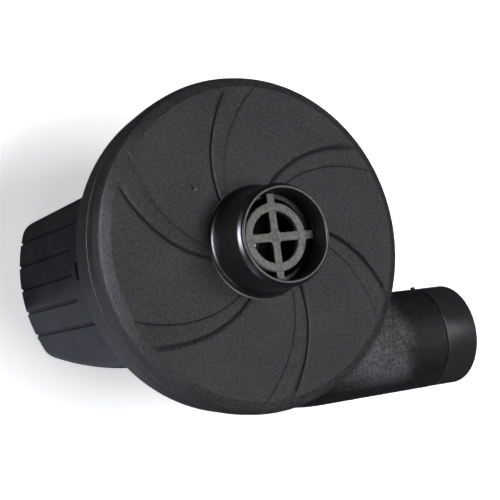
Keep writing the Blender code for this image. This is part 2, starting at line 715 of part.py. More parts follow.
def grip_grooves(housing):
    """Five shallow grooves down each arched side; the three middle ones stop short of the casing."""
    inner = HOUSING_HALF_WIDTH - GRIP_GROOVE_DEPTH
    outer = HOUSING_HALF_WIDTH + CUT
    for number in range(-2, 3):
        y = GRIP_GROOVE_CENTRE + GRIP_GROOVE_PITCH * number
        top = 59.5 * MM if abs(number) == 2 else 53.0 * MM
        for side in (-1, 1):
            low = (inner, -GRIP_GROOVE_WIDTH / 2, -CUT)
            high = (outer, GRIP_GROOVE_WIDTH / 2, top)
            groove = box(f"grip_groove_{number}_{side}", low, high)
            angle = math.asin(y / HOUSING_HALF_WIDTH)
            if side < 0:
                angle = math.pi - angle
            middle = (inner + outer) / 2
            groove.rotation_euler = (0.0, 0.0, angle)
            groove.location = (middle * math.cos(angle), middle * math.sin(angle), (top - CUT) / 2)
            cut(housing, groove)


# ---------------------------------------------------------------- switch, socket, battery and wires

PANEL_Y = HOUSING_TOP + 1.0 * MM * PANEL_Z / BACK_Z
ROCKER_PIVOT = (SWITCH_X, PANEL_Y - 1.0 * MM, PANEL_Z)


def switch():
    """A small rocker switch: its body with a bezel on the wall, and the rocker on a pin across it."""
    bezel_low = PANEL_Y + GAP
    body = box(
        "switch_body",
        (SWITCH_X - 6.4 * MM, 11.5 * MM, PANEL_Z - 4.1 * MM),
        (SWITCH_X + 6.4 * MM, bezel_low + 1.0 * MM, PANEL_Z + 4.1 * MM),
        BLACK_GLOSS,
    )
    bezel = box(
        "switch_bezel",
        (SWITCH_X - 7.6 * MM, bezel_low, PANEL_Z - 5.3 * MM),
        (SWITCH_X + 7.6 * MM, bezel_low + 1.6 * MM, PANEL_Z + 5.3 * MM),
        None,
        0.4 * MM,
    )
    pocket = box(
        "switch_pocket",
        (SWITCH_X - 5.6 * MM, PANEL_Y - 5.0 * MM, PANEL_Z - 3.3 * MM),
        (SWITCH_X + 5.6 * MM, PANEL_Y + 5.0 * MM, PANEL_Z + 3.3 * MM),
    )
    join(body, bezel)
    cut(body, pocket)

    pivot = bpy.data.objects.new("rocker_pivot", None)
    parts.objects.link(pivot)
    pivot.location = ROCKER_PIVOT
    pivot.rotation_euler = (0.0, 0.0, math.radians(ROCKER_TILT_DEGREES))
    outline = [(-4.5, -1.6), (4.5, -1.6), (4.7, 3.4), (2.4, 2.9), (0.0, 2.7), (-2.4, 2.9), (-4.7, 3.4)]
    rings = [[(x * MM, y * MM, height * MM) for x, y in outline] for height in (-3.0, 3.0)]
    rocker = loft("switch_rocker", rings, BLACK_GLOSS)
    rocker.parent = pivot


def charging_socket():
    """A round barrel socket with a flange on the wall and a blind hole for the charger's plug."""
    outer = PANEL_Y + GAP
    flange = outer + 1.0 * MM
    profile = [
        (0.0, flange),
        (5.6 * MM, flange),
        (5.6 * MM, outer),
        (4.4 * MM, outer),
        (4.4 * MM, 12.0 * MM),
        (0.0, 12.0 * MM),
    ]
    socket = turned("charging_socket", profile, BLACK_GLOSS, 24)
    hole = disc("socket_hole", SOCKET_HOLE, 14.0 * MM, flange + CUT, None, 20)
    for made in (socket, hole):
        made.rotation_euler = (-math.pi / 2, 0.0, 0.0)
        made.location = (SOCKET_X, 0.0, PANEL_Z)
    cut(socket, hole)


def battery():
    """Four cells, two on each side of the motor, joined by straps and tabs."""
    number = 0
    for side, side_name in ((-1, "left"), (1, "right")):
        for y, flipped, level in ((CELL_LOW_Y, False, "low"), (CELL_HIGH_Y, True, "high")):
            number += 1
            profile = [
                (0.0, CELL_TOP),
                (3.2 * MM, CELL_TOP),
                (3.2 * MM, CELL_TOP - 0.8 * MM),
                (CELL_RADIUS - 1.0 * MM, CELL_TOP - 0.8 * MM),
                (CELL_RADIUS, CELL_TOP - 1.4 * MM),
                (CELL_RADIUS, CELL_BOTTOM + 0.6 * MM),
                (CELL_RADIUS - 0.6 * MM, CELL_BOTTOM),
                (0.0, CELL_BOTTOM),
            ]
            if flipped:
                profile = [(across, CELL_TOP + CELL_BOTTOM - height) for across, height in reversed(profile)]
            turned(f"cell_{number}", profile, CELL_SLEEVE, 24, (side * CELL_X, y, 0.0))
            tab_low = (side * CELL_X - 3 * MM, y - 3 * MM, CELL_TOP + GAP)
            tab_high = (side * CELL_X + 3 * MM, y + 3 * MM, CELL_TOP + GAP + STRAP_THICKNESS)
            box(f"tab_{side_name}_{level}", tab_low, tab_high, STEEL)
        strap_low = (side * CELL_X - 3 * MM, CELL_LOW_Y - 3 * MM, CELL_BOTTOM - GAP - STRAP_THICKNESS)
        strap_high = (side * CELL_X + 3 * MM, CELL_HIGH_Y + 3 * MM, CELL_BOTTOM - GAP)
        box(f"cell_strap_{side_name}", strap_low, strap_high, STEEL)


def wires():
    """The loom: battery to switch to motor and back, the charging leads and the link of the cell pairs."""
    tab = CELL_TOP + 2 * GAP + STRAP_THICKNESS
    routes = {
        "battery_wire": (RED_WIRE, [(33.5, 7.7, 0), (33.5, 7.7, 3.5), (35.0, 9.2, 5.6), (35.0, 11.2, 6.2)]),
        "motor_wire_red": (
            RED_WIRE,
            [(12.3, 0, -41.4), (16, 0, -41.4), (20.6, 0, -40), (21.4, 0, -35)]
            + [(21.4, 0, 1), (24, 3, 4.5), (29.5, 8.6, 6.6), (30.5, 11.2, 7.1)],
        ),
        "motor_wire_black": (
            BLACK_WIRE,
            [(-12.3, 0, -41.4), (-16, 0, -41.4), (-20.6, 0, -40), (-21.4, 0, -35)]
            + [(-21.4, 0, 1), (-26, 0, 3.5), (-31, 6, 4), (-33.2, 7.7, 2.8), (-33.2, 7.7, 0)],
        ),
        "charging_wire_black": (
            BLACK_WIRE,
            [(-34.8, 11.7, 7.6), (-35.2, 9.5, 7.2), (-36.8, 7.9, 4.2), (-36.8, 7.7, 0)],
        ),
        "charging_wire_red": (
            RED_WIRE,
            [(-31.2, 11.7, 7.6), (-29.8, 9, 7.4), (-26, -2, 6.4), (-26, -14, 4), (-25, -22, 2.6)]
            + [(-20, -25, 2.2), (20, -25, 2.2), (25.5, -21, 2.6), (28, -12, 3), (31, 3, 3.4)]
            + [(36.6, 6, 3.4), (37, 7.7, 2), (37, 7.7, 0)],
        ),
        "cell_link_wire": (
            BLACK_WIRE,
            [(35, -15.5, 0), (35, -15.5, 1.8), (26, -24, 0.6), (20, -26, -2)]
            + [(-20, -26, -2), (-26, -24, 0.6), (-35, -15.5, 1.8), (-35, -15.5, 0)],
        ),
    }
    for name, (finish, points) in routes.items():
        wire(name, [(x * MM, y * MM, tab + rise * MM) for x, y, rise in points], 0.8 * MM, finish)


# ---------------------------------------------------------------- fasteners


def screw(name, spot, head_top, length, up=True):
    """A round-headed screw: its head meets its seat at head_top; its shank runs up, or down, from there."""
    profile = [
        (0.0, length),
        (0.7 * SHANK_RADIUS, length),
        (SHANK_RADIUS, length - 1.0 * MM),
        (SHANK_RADIUS, 0.0),
        (HEAD_RADIUS, 0.0),
        (HEAD_RADIUS, 0.5 * MM - HEAD_HEIGHT),
        (HEAD_RADIUS - 0.6 * MM, -HEAD_HEIGHT),
        (1.2 * MM, -HEAD_HEIGHT),
        (0.0, 1.0 * MM - HEAD_HEIGHT),
    ]
    if not up:
        profile = [(across, -height) for across, height in reversed(profile)]
    turned(name, profile, DARK_STEEL, 12, (spot[0], spot[1], head_top))


def fasteners():
    """The screws of the motor housing, of the cover and of the motor."""
    for index, spot in enumerate(HOUSING_SCREWS, 1):
        screw(f"housing_screw_{index}", spot, WELL_TOP - GAP, 20.5 * MM)
    for index, spot in enumerate(COVER_SCREWS, 1):
        screw(f"cover_screw_{index}", spot, BACK_Z - GAP, 13.5 * MM)
    for side, name in ((-1, "left"), (1, "right")):
        screw(f"motor_screw_{name}", (side * MOTOR_SCREW_X, 0.0), BACK_Z + WALL + GAP, 7.2 * MM, False)


front_cover()
inlet_grille()
rear_shell()
outlet_ring()
impeller()
motor_can()
motor_end_bell()
motor_magnets()
rotor()
brushes_and_bushings()
motor_housing()
switch()
charging_socket()
battery()
wires()
fasteners()
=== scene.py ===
"""The looks of a hand-held electric air pump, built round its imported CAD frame.

Metres, in the frame's own axes: +Z up the motor's axis to the suction collar, +X the way the outlet tube
points. Each visible moulding is a fine mesh in place of its CAD node; the inner nodes keep their meshes.
"""

import json
import math

import bmesh
import bpy
from mathutils import Euler, Matrix, Vector


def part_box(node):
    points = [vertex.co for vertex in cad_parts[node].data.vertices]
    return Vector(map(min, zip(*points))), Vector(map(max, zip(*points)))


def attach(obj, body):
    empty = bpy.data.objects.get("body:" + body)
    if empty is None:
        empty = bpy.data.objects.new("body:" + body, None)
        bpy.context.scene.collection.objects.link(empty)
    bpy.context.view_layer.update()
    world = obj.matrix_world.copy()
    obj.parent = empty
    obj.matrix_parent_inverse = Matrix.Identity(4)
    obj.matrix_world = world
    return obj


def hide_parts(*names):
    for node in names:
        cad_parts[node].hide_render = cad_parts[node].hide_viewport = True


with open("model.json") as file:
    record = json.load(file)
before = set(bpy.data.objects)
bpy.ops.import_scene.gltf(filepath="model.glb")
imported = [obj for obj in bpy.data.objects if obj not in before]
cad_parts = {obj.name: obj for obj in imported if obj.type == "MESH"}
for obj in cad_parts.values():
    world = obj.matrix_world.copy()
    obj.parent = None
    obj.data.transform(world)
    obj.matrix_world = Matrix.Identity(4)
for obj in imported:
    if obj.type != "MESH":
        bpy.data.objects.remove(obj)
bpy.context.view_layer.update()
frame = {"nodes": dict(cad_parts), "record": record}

MM = 0.001

# Places read from the frame
COVER_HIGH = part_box("front_cover")[1]
RING_LOW, RING_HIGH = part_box("outlet_ring")
HOUSING_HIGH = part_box("motor_housing")[1]
GRILLE_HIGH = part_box("inlet_grille")[1]
SWITCH_LOW, SWITCH_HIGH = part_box("switch_body")
SOCKET_LOW, SOCKET_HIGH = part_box("charging_socket")
SWITCH_MIDDLE = (SWITCH_LOW + SWITCH_HIGH) / 2
SOCKET_MIDDLE = (SOCKET_LOW + SOCKET_HIGH) / 2

# The blower casing: a lid and a deep shell that meet at the seam
CASING_RADIUS = COVER_HIGH.x
FACE_RADIUS = 52.7 * MM
CAVITY_RADIUS = 54.6 * MM
COLLAR_Z = COVER_HIGH.z
FACE_Z = COLLAR_Z - 17.7 * MM
SEAM_Z = FACE_Z - 10.6 * MM
SEAM_GAP = 0.3 * MM
LID_INSIDE_Z = 84.6 * MM
FLOOR_Z = 63.4 * MM
BACK_Z = 61.0 * MM
BACK_ROUND = 4.2 * MM

# The suction collar
COLLAR_BASE = 17.7 * MM
COLLAR_RADIUS = 17.0 * MM
COLLAR_TIP = 16.0 * MM
COLLAR_BORE = 14.8 * MM
COLLAR_LEDGE = 13.2 * MM
COLLAR_FOOT = 1.8 * MM
LEDGE_Z = 94.8 * MM

# The swept vanes on the face, in millimetres: each has a groove, a gentle fall and a step back up with a
# shallow trough at its foot
VANES = 6
SECTOR = 360 / VANES
VANE_START = 18.0
VANE_END = 53.5
GROOVE_DEPTH = 0.62
GROOVE_HALF = 0.95
TROUGH_DEPTH = 0.16
TROUGH_HALF = 0.5
TROUGH_PLACE = -0.1
GROOVE_PLACES = (-1.1, -0.75, -0.5, -0.3, -0.12, 0.12, 0.3, 0.5, 0.75, 1.1)
STEP_PLACES = (-0.8, -0.45, -0.25, -0.1, 0.05, 0.2, 0.4, 0.75)

# The outlet tube, which swells from a domed start, and the ring at its mouth
TUBE_Y = (RING_LOW.y + RING_HIGH.y) / 2 + 0.5 * MM
TUBE_Z = (RING_LOW.z + RING_HIGH.z) / 2
TUBE_RADIUS = 18.5 * MM
TUBE_BORE = 16.4 * MM
TUBE_SWELL = 2.3 * MM
TUBE_SWELL_X = 25 * MM
TUBE_DOME = 11.5 * MM
TUBE_END_X = RING_HIGH.x + 0.9 * MM
RING_X = RING_LOW.x
RING_LIP = 1.4 * MM

# The motor housing and the grip grooves on its sides
HALF_WIDTH = 56.2 * MM
HOUSING_TOP = 22.9 * MM
HOUSING_BOTTOM = -29.4 * MM
HOUSING_CORNER = 7.5 * MM
HOUSING_EDGE = 2.0 * MM
HOUSING_WALL = 2.2 * MM
GRIP_PLACES = (-0.66, -0.58, -0.45, -0.25, 0.0, 0.25, 0.45, 0.58, 0.66)
GRIP_PITCH = 8.7 * MM
GRIP_CENTRE = -2.8 * MM
GRIP_DEPTH = 0.6 * MM
WELL_RADIUS = 2.95 * MM

ROCKER_PIVOT = Vector((33.0, 22.39, 54.2)) * MM
ROCKER_TILT = -9

LIGHT_TARGET = Vector((0, 0, 70)) * MM
CAMERA_PLACE = Vector((-182.8, -30.0, 410.3)) * MM
CAMERA_TURN = (8.81, -28.59, -8.63)
CAMERA_LENS = 80.8
CAMERA_SHIFT = (-0.0208, -0.0172)


# ---------------------------------------------------------------- meshes


def mm(*points):
    """Points given in millimetres, in metres."""
    return [tuple(value * MM for value in point) for point in points]


def smoothstep(low, high, value):
    """0 up to low, 1 from high on, and a soft rise between."""
    share = min(max((value - low) / (high - low), 0.0), 1.0)
    return share * share * (3 - 2 * share)


def new_object(name, data):
    made = bpy.data.objects.new(name, data)
    bpy.context.scene.collection.objects.link(made)
    return made


def shade(mesh, degrees=32):
    mesh.shade_smooth()
    mesh.set_sharp_from_angle(angle=math.radians(degrees))


def finished(name, shape, degrees=32):
    """An object from the bmesh, smooth but for edges sharper than this."""
    mesh = bpy.data.meshes.new(name)
    shape.to_mesh(mesh)
    shape.free()
    shade(mesh, degrees)
    return new_object(name, mesh)


def evaluated_mesh(made):
    """The mesh that an object's curve or modifiers give."""
    return bpy.data.meshes.new_from_object(made.evaluated_get(bpy.context.evaluated_depsgraph_get()))


def lattice(name, rows, closed=True):
    """A closed solid through rings of points; the last ring meets the first, or both are capped."""
    shape = bmesh.new()
    layers = [[shape.verts.new(point) for point in row] for row in rows]
    pairs = list(zip(layers, layers[1:]))
    if closed:
        pairs.append((layers[-1], layers[0]))
    for near, far in pairs:
        count = len(near)
        for index in range(count):
            beside = (index + 1) % count
            shape.faces.new((near[index], near[beside], far[beside], far[index]))
    if not closed:
        shape.faces.new(layers[0])
        shape.faces.new(layers[-1])
    bmesh.ops.recalc_face_normals(shape, faces=shape.faces)
    return finished(name, shape)


def rounded(corners, closed=True, arc_step=12):
    """The outline through the corners (across, along, radius), each corner with a radius made an arc."""
    outline = []
    count = len(corners)
    nearly_straight = math.pi - 0.01
    for index, (across, along, radius) in enumerate(corners):
        here = Vector((across, along))
        back = (Vector(corners[index - 1][:2]) - here).normalized()
        ahead = (Vector(corners[(index + 1) % count][:2]) - here).normalized()
        angle = back.angle(ahead, math.pi)
        at_end = not closed and index in (0, count - 1)
        if radius == 0 or at_end or angle > nearly_straight:
            outline.append((across, along))
            continue
        reach = radius / math.tan(angle / 2)
        centre = here + (back + ahead).normalized() * radius / math.sin(angle / 2)
        first = here + back * reach - centre
        last = here + ahead * reach - centre
        sweep = first.angle_signed(last)
        steps = max(2, round(abs(math.degrees(sweep)) / arc_step))
        for step in range(steps + 1):
            turned_by = Matrix.Rotation(-sweep * step / steps, 2)
            outline.append(tuple(centre + turned_by @ first))
    return outline


def turned(name, profile, steps=144, closed=True):
    """A solid turned about +Z from a profile of (radius, height)."""
    angles = [2 * math.pi * step / steps for step in range(steps)]
    rows = [[(r * math.cos(a), r * math.sin(a), z) for a in angles] for r, z in profile]
    return lattice(name, rows, closed)


def along_tube(made):
    """Turns a solid made about +Z so that its axis is the outlet tube's."""
    made.data.transform(Matrix.Translation((0, TUBE_Y, TUBE_Z)) @ Matrix.Rotation(math.pi / 2, 4, "Y"))
    return made


def moved(made, place, turn=(0, 0, 0)):
    """Turns a mesh about its own origin and then moves it to the place."""
    made.data.transform(Matrix.Translation(place) @ Euler(turn).to_matrix().to_4x4())
    return made


def block(name, low, high, edge=0.0, segments=3):
    """A box between two corners, its edges rounded."""
    shape = bmesh.new()
    bmesh.ops.create_cube(shape, size=1.0)
    size = Vector(high) - Vector(low)
    bmesh.ops.scale(shape, vec=size, verts=shape.verts)
    bmesh.ops.translate(shape, vec=(Vector(low) + Vector(high)) / 2, verts=shape.verts)
    if edge:
        bmesh.ops.bevel(shape, geom=shape.edges, offset=edge, segments=segments, profile=0.5, affect="EDGES")
    return finished(name, shape, 35)


def combined(target, operation, tools):
    """Applies one Boolean after another to the target and removes the tools."""
    for tool in tools:
        step = target.modifiers.new(tool.name, "BOOLEAN")
        step.operation = operation
        step.object = tool
        step.solver = "EXACT"
    made = evaluated_mesh(target)
    target.modifiers.clear()
    target.data = made
    for tool in tools:
        bpy.data.objects.remove(tool)
    shade(made)
    return target


def joined(target, *others):
    """Other meshes added to the target's mesh, each still its own closed form."""
    shape = bmesh.new()
    shape.from_mesh(target.data)
    for other in others:
        shape.from_mesh(other.data)
        bpy.data.objects.remove(other)
    shape.to_mesh(target.data)
    shape.free()
    shade(target.data)
    return target


def flat_plate(name, outlines, thickness, edge):
    """A flat plate from outlines of points, holes among them, with rounded edges, centred on z = 0."""
    curve = bpy.data.curves.new(name, "CURVE")
    curve.dimensions = "2D"
    curve.fill_mode = "BOTH"
    curve.extrude = thickness / 2 - edge
    curve.bevel_depth = edge
    curve.bevel_resolution = 2
    curve.offset = -edge
    for outline in outlines:
        spline = curve.splines.new("POLY")
        spline.points.add(len(outline) - 1)
        spline.use_cyclic_u = True
        for knot, (x, y) in zip(spline.points, outline):
            knot.co = (x, y, 0, 1)
    guide = new_object(name, curve)
    loose = evaluated_mesh(guide)
    bpy.data.objects.remove(guide)
    shape = bmesh.new()
    shape.from_mesh(loose)
    bpy.data.meshes.remove(loose)
    bmesh.ops.remove_doubles(shape, verts=shape.verts, dist=0.001 * MM)
    bmesh.ops.recalc_face_normals(shape, faces=shape.faces)
    return finished(name, shape)


def screw_spots(prefix):
    """The places of the screws whose CAD nodes start with this name: the middle of each, at its lowest."""
    spots = []
    for name in sorted(frame["nodes"]):
        if name.startswith(prefix):
            low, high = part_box(name)
            spots.append(Vector(((low.x + high.x) / 2, (low.y + high.y) / 2, low.z)))
    return spots


# ---------------------------------------------------------------- materials


class Nodes:
    """A material's node tree, with short calls for the nodes used here."""

    def __init__(self, name):
        self.material = bpy.data.materials.new(name)
        self.material.use_nodes = True
        self.tree = self.material.node_tree
        self.shader = self.tree.nodes["Principled BSDF"]
        self.coordinates = self.tree.nodes.new("ShaderNodeTexCoord").outputs["Object"]

    def link(self, source, target):
        self.tree.links.new(source, target)

    def noise(self, size, detail=4.0, roughness=0.5, stretch=(1, 1, 1)):
        """Noise whose features are about this many metres across."""
        mapping = self.tree.nodes.new("ShaderNodeMapping")
        mapping.inputs["Scale"].default_value = stretch
        self.link(self.coordinates, mapping.inputs["Vector"])
        made = self.tree.nodes.new("ShaderNodeTexNoise")
        made.inputs["Scale"].default_value = 0.5 / size
        made.inputs["Detail"].default_value = detail
        made.inputs["Roughness"].default_value = roughness
        self.link(mapping.outputs["Vector"], made.inputs["Vector"])
        return made.outputs["Fac"]

    def ramp(self, value, stops):
        made = self.tree.nodes.new("ShaderNodeValToRGB")
        made.color_ramp.elements[0].position = stops[0][0]
        made.color_ramp.elements[0].color = (*stops[0][1], 1)
        made.color_ramp.elements[1].position = stops[-1][0]
        made.color_ramp.elements[1].color = (*stops[-1][1], 1)
        for position, color in stops[1:-1]:
            made.color_ramp.elements.new(position).color = (*color, 1)
        self.link(value, made.inputs["Fac"])
        return made.outputs["Color"]

    def span(self, value, low, high, from_low=0.35, from_high=0.65):
        """The value, mostly between from_low and from_high, brought to between low and high."""
        made = self.tree.nodes.new("ShaderNodeMapRange")
        made.inputs["From Min"].default_value = from_low
        made.inputs["From Max"].default_value = from_high
        made.inputs["To Min"].default_value = low
        made.inputs["To Max"].default_value = high
        self.link(value, made.inputs["Value"])
        return made.outputs["Result"]

    def hollow(self):
        """How deep in a groove a point lies, from 0 to 1, as the mesh stores it."""
        made = self.tree.nodes.new("ShaderNodeAttribute")
        made.attribute_name = "hollow"
        return made.outputs["Fac"]

    def painted_groove_shade(self, color):
        """The colour, darker down in the grooves: painted shade."""
        made = self.tree.nodes.new("ShaderNodeMixRGB")
        made.blend_type = "MULTIPLY"
        # painted shade: down in a groove the colour is multiplied by this grey
        made.inputs["Color2"].default_value = (0.15, 0.15, 0.15, 1)
        self.link(self.hollow(), made.inputs["Fac"])
        self.link(color, made.inputs["Color1"])
        return made.outputs["Color"]

    def toned(self, color, tones, heights):
        """The colour scaled by a factor that runs along X through the given places, with uneven edges.

        It fades in between the two heights and holds above them, where it stands partly for painted light and
        shade."""
        apart = self.tree.nodes.new("ShaderNodeSeparateXYZ")
        self.link(self.coordinates, apart.inputs["Vector"])
        blur = self.span(self.noise(4 * MM, 5, 0.6), -3 * MM, 3 * MM)
        place = self.math("ADD", apart.outputs["X"], blur)
        first, last = tones[0][0], tones[-1][0]
        most = max(factor for _, factor in tones)
        stops = [((x - first) / (last - first), (factor / most,) * 3) for x, factor in tones]
        factor = self.ramp(self.span(place, 0.0, 1.0, first, last), stops)
        scale = self.tree.nodes.new("ShaderNodeVectorMath")
        scale.operation = "SCALE"
        scale.inputs["Scale"].default_value = most
        self.link(factor, scale.inputs["Vector"])
        made = self.tree.nodes.new("ShaderNodeMixRGB")
        made.blend_type = "MULTIPLY"
        self.link(self.span(apart.outputs["Z"], 0.0, 1.0, *heights), made.inputs["Fac"])
        self.link(color, made.inputs["Color1"])
        self.link(scale.outputs["Vector"], made.inputs["Color2"])
        return made.outputs["Color"]

    def math(self, operation, first, second):
        made = self.tree.nodes.new("ShaderNodeMath")
        made.operation = operation
        self.link(first, made.inputs[0])
        if isinstance(second, (int, float)):
            made.inputs[1].default_value = second
        else:
            self.link(second, made.inputs[1])
        return made.outputs[0]

    def bump(self, height, depth, below=None):
        """A bump whose full range of height is depth metres, over any bump below it."""
        made = self.tree.nodes.new("ShaderNodeBump")
        made.inputs["Strength"].default_value = 1.0
        made.inputs["Distance"].default_value = depth
        self.link(height, made.inputs["Height"])
        if below is not None:
            self.link(below, made.inputs["Normal"])
        return made.outputs["Normal"]


def tinted(color, factor):
    return tuple(channel * factor for channel in color)


def plastic(
    name,
    color,
    roughness,
    grain=0.0,
    grain_size=0.45 * MM,
    mottle=0.12,
    wear=0.08,
    specular=0.2,
    tones=(),
    tone_heights=(0, 0),
    dulled=True,
):
    """Moulded plastic: cloudy colour, uneven gloss, fine grain and a very slight waviness.

    The tones are places along X with a factor on the colour there, partly wear and partly painted light and
    shade.
    A dulled plastic is rougher down in its grooves; in every plastic the colour is darker there, as painted
    shade."""
    nodes = Nodes(name)
    cloud = nodes.noise(9 * MM, detail=5, roughness=0.6)
    fleck = nodes.noise(0.5 * MM, detail=2)
    both = nodes.math("ADD", nodes.math("MULTIPLY", cloud, 0.3), nodes.math("MULTIPLY", fleck, 0.7))
    shades = [(0.36, tinted(color, 1 - mottle)), (0.5, color), (0.64, tinted(color, 1 + mottle))]
    tint = nodes.painted_groove_shade(nodes.ramp(both, shades))
    if tones:
        tint = nodes.toned(tint, tones, tone_heights)
    nodes.link(tint, nodes.shader.inputs["Base Color"])
    smear = nodes.noise(14 * MM, detail=8, roughness=0.7)
    gloss = nodes.span(smear, roughness - wear, roughness + wear)
    if dulled:
        gloss = nodes.math("ADD", gloss, nodes.math("MULTIPLY", nodes.hollow(), 0.5))
    nodes.link(gloss, nodes.shader.inputs["Roughness"])
    nodes.shader.inputs["Specular IOR Level"].default_value = specular
    normal = nodes.bump(nodes.noise(6 * MM, detail=1), 0.02 * MM)
    if grain:
        normal = nodes.bump(nodes.noise(grain_size * 0.6, detail=3, roughness=0.65), grain, normal)
    else:
        normal = nodes.bump(nodes.noise(0.8 * MM, detail=3), 0.004 * MM, normal)
    nodes.link(normal, nodes.shader.inputs["Normal"])
    return nodes.material


def metal(name, color, roughness, brushed=(1, 1, 12), scratch=0.006 * MM):
    """Metal with fine brushed lines, stains and an uneven gloss."""
    nodes = Nodes(name)
    nodes.shader.inputs["Metallic"].default_value = 1.0
    stain = nodes.noise(3 * MM, detail=6, roughness=0.65)
    shades = [(0.3, tinted(color, 0.75)), (0.55, color), (0.8, tinted(color, 1.12))]
    nodes.link(nodes.ramp(stain, shades), nodes.shader.inputs["Base Color"])
    lines = nodes.noise(0.4 * MM, detail=3, stretch=brushed)
    nodes.link(nodes.span(lines, roughness - 0.06, roughness + 0.12), nodes.shader.inputs["Roughness"])
    nodes.link(nodes.bump(lines, scratch), nodes.shader.inputs["Normal"])
    return nodes.material


CASING = plastic(
    "casing_grain_plastic",
    (0.0265, 0.026, 0.028),
    0.42,
    grain=0.28 * MM,
    mottle=0.42,
    specular=0.16,
)
TUBE = plastic(
    "outlet_tube_wear_and_painted_light_plastic",
    (0.012, 0.0118, 0.0132),
    0.42,
    grain=0.3 * MM,
    mottle=0.6,
    specular=0.16,
    # paler near the root and darker towards the mouth, only on the side facing the lights: partly wear,
    # partly painted light and shade
    tones=[(20 * MM, 1.3), (42 * MM, 4.8), (53 * MM, 4.4), (61 * MM, 0.7), (75 * MM, 0.8)],
    tone_heights=(TUBE_Z + 11 * MM, TUBE_Z + 16 * MM),
)
COLLAR = plastic("collar_smooth_plastic", (0.010, 0.010, 0.011), 0.32, specular=0.22)
RING = plastic("outlet_ring_plastic", (0.018, 0.018, 0.020), 0.36, specular=0.2)
HOUSING = plastic(
    "housing_satin_plastic",
    (0.014, 0.014, 0.018),
    0.42,
    grain=0.008 * MM,
    grain_size=0.3 * MM,
    specular=0.18,
    dulled=False,
)
GRILLE = plastic("grille_grey_plastic", (0.12, 0.12, 0.118), 0.6, grain=0.1 * MM, mottle=0.35)
SWITCH = plastic("switch_gloss_plastic", (0.010, 0.010, 0.011), 0.2)
MARK_WHITE = plastic("switch_mark_paint", (0.6, 0.6, 0.58), 0.5)
SCREW_STEEL = metal("screw_blackened_steel", (0.10, 0.10, 0.105), 0.34)

# The materials of the CAD nodes that stay, by slot
INNER = {
    "screw_steel": SCREW_STEEL,
    "switch_gloss": SWITCH,
    "impeller_black": plastic("impeller_black_nylon", (0.02, 0.02, 0.021), 0.48, mottle=0.15),
    "end_bell_black": plastic("end_bell_plastic", (0.02, 0.02, 0.02), 0.5),
    "bright_steel": metal("plated_steel", (0.5, 0.5, 0.51), 0.28),
    "copper": metal("bare_copper", (0.72, 0.34, 0.18), 0.32, brushed=(12, 1, 1)),
    "bronze": metal("sintered_bronze", (0.5, 0.34, 0.17), 0.45, brushed=(1, 1, 1)),
    "carbon": plastic("pressed_carbon", (0.028, 0.028, 0.028), 0.7, grain=0.02 * MM, grain_size=0.2 * MM),
    "ferrite": plastic("ferrite_ceramic", (0.05, 0.05, 0.055), 0.6, grain=0.02 * MM, grain_size=0.2 * MM),
    "cell_sleeve": plastic("cell_sleeve_film", (0.04, 0.2, 0.11), 0.3, mottle=0.06),
    "wire_red": plastic("red_wire_insulation", (0.45, 0.02, 0.02), 0.38),
    "wire_black": plastic("black_wire_insulation", (0.014, 0.014, 0.014), 0.38),
}


def show(made, name, material, body="casing", replaced=()):
    """Names a finished piece, dresses it and ties it to its CAD body."""
    made.name = name
    made.data.name = name
    made.data.materials.clear()
    made.data.materials.append(material)
    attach(made, body)
    if replaced:
        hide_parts(*replaced)


# ---------------------------------------------------------------- front cover


def groove_degrees(radius):
    """The polar angle of a vane's deep groove, which sweeps back as it runs out; radius in millimetres."""
    return 156.73 - 1.4152 * radius + 0.004843 * radius**2


def step_degrees(radius):
    """The polar angle of the step on the other side of the vane."""
    return 144.27 - 1.3127 * radius + 0.00326 * radius**2


def face_columns(radius):
    """Round the face once: (angle, place across the groove, place across the step, share of the vane)."""
    flat = min(max(radius / MM, VANE_START), VANE_END)
    spread = 1.0 + 0.9 * smoothstep(43, 51, flat)
    columns = []
    for vane in range(VANES):
        groove = groove_degrees(flat) - SECTOR * vane
        step = step_degrees(flat) - SECTOR * vane
        for place in GROOVE_PLACES:
            columns.append((groove - math.degrees(place * spread / flat), place, None, 0.0))
        start = groove - math.degrees(GROOVE_PLACES[-1] * spread / flat)
        finish = step - math.degrees(STEP_PLACES[0] / flat)
        for share in (0.2, 0.4, 0.6, 0.8):
            columns.append((start + (finish - start) * share, None, None, share))
        for place in STEP_PLACES:
            columns.append((step - math.degrees(place / flat), None, place, 1.0))
        start = step - math.degrees(STEP_PLACES[-1] / flat)
        finish = groove - SECTOR - math.degrees(GROOVE_PLACES[0] * spread / flat)
        parts = 22
        for part in range(1, parts):
            columns.append((start + (finish - start) * part / parts, None, None, 0.0))
    return columns


def face_relief(radius, groove_place, step_place, share):
    """How far the face lies below its plane; the pattern fades out at the collar and at the shoulder."""
    flat = radius / MM
    reach = smoothstep(17.6, 19.4, flat) * (1 - smoothstep(51.0, 54.0, flat))
    fall = 0.16 + 0.34 * smoothstep(20, 50, flat)
    depth = 0.0
    if groove_place is not None:
        depth = GROOVE_DEPTH * max(0.0, 1 - (groove_place / GROOVE_HALF) ** 2) ** 1.5
        if groove_place > 0:
            depth += 0.02 * fall
    elif step_place is not None:
        depth = fall * (1 - smoothstep(-0.1, 0.4, step_place))
        depth += TROUGH_DEPTH * max(0.0, 1 - ((step_place - TROUGH_PLACE) / TROUGH_HALF) ** 2)
    elif share:
        depth = fall * share**1.3
    return depth * reach * MM


def across_line(line_degrees, degrees, radius):
    """How far a point on the face lies across the nearest vane's line, all in degrees and millimetres."""
    off = (line_degrees - degrees + SECTOR / 2) % SECTOR - SECTOR / 2
    return math.radians(off) * radius


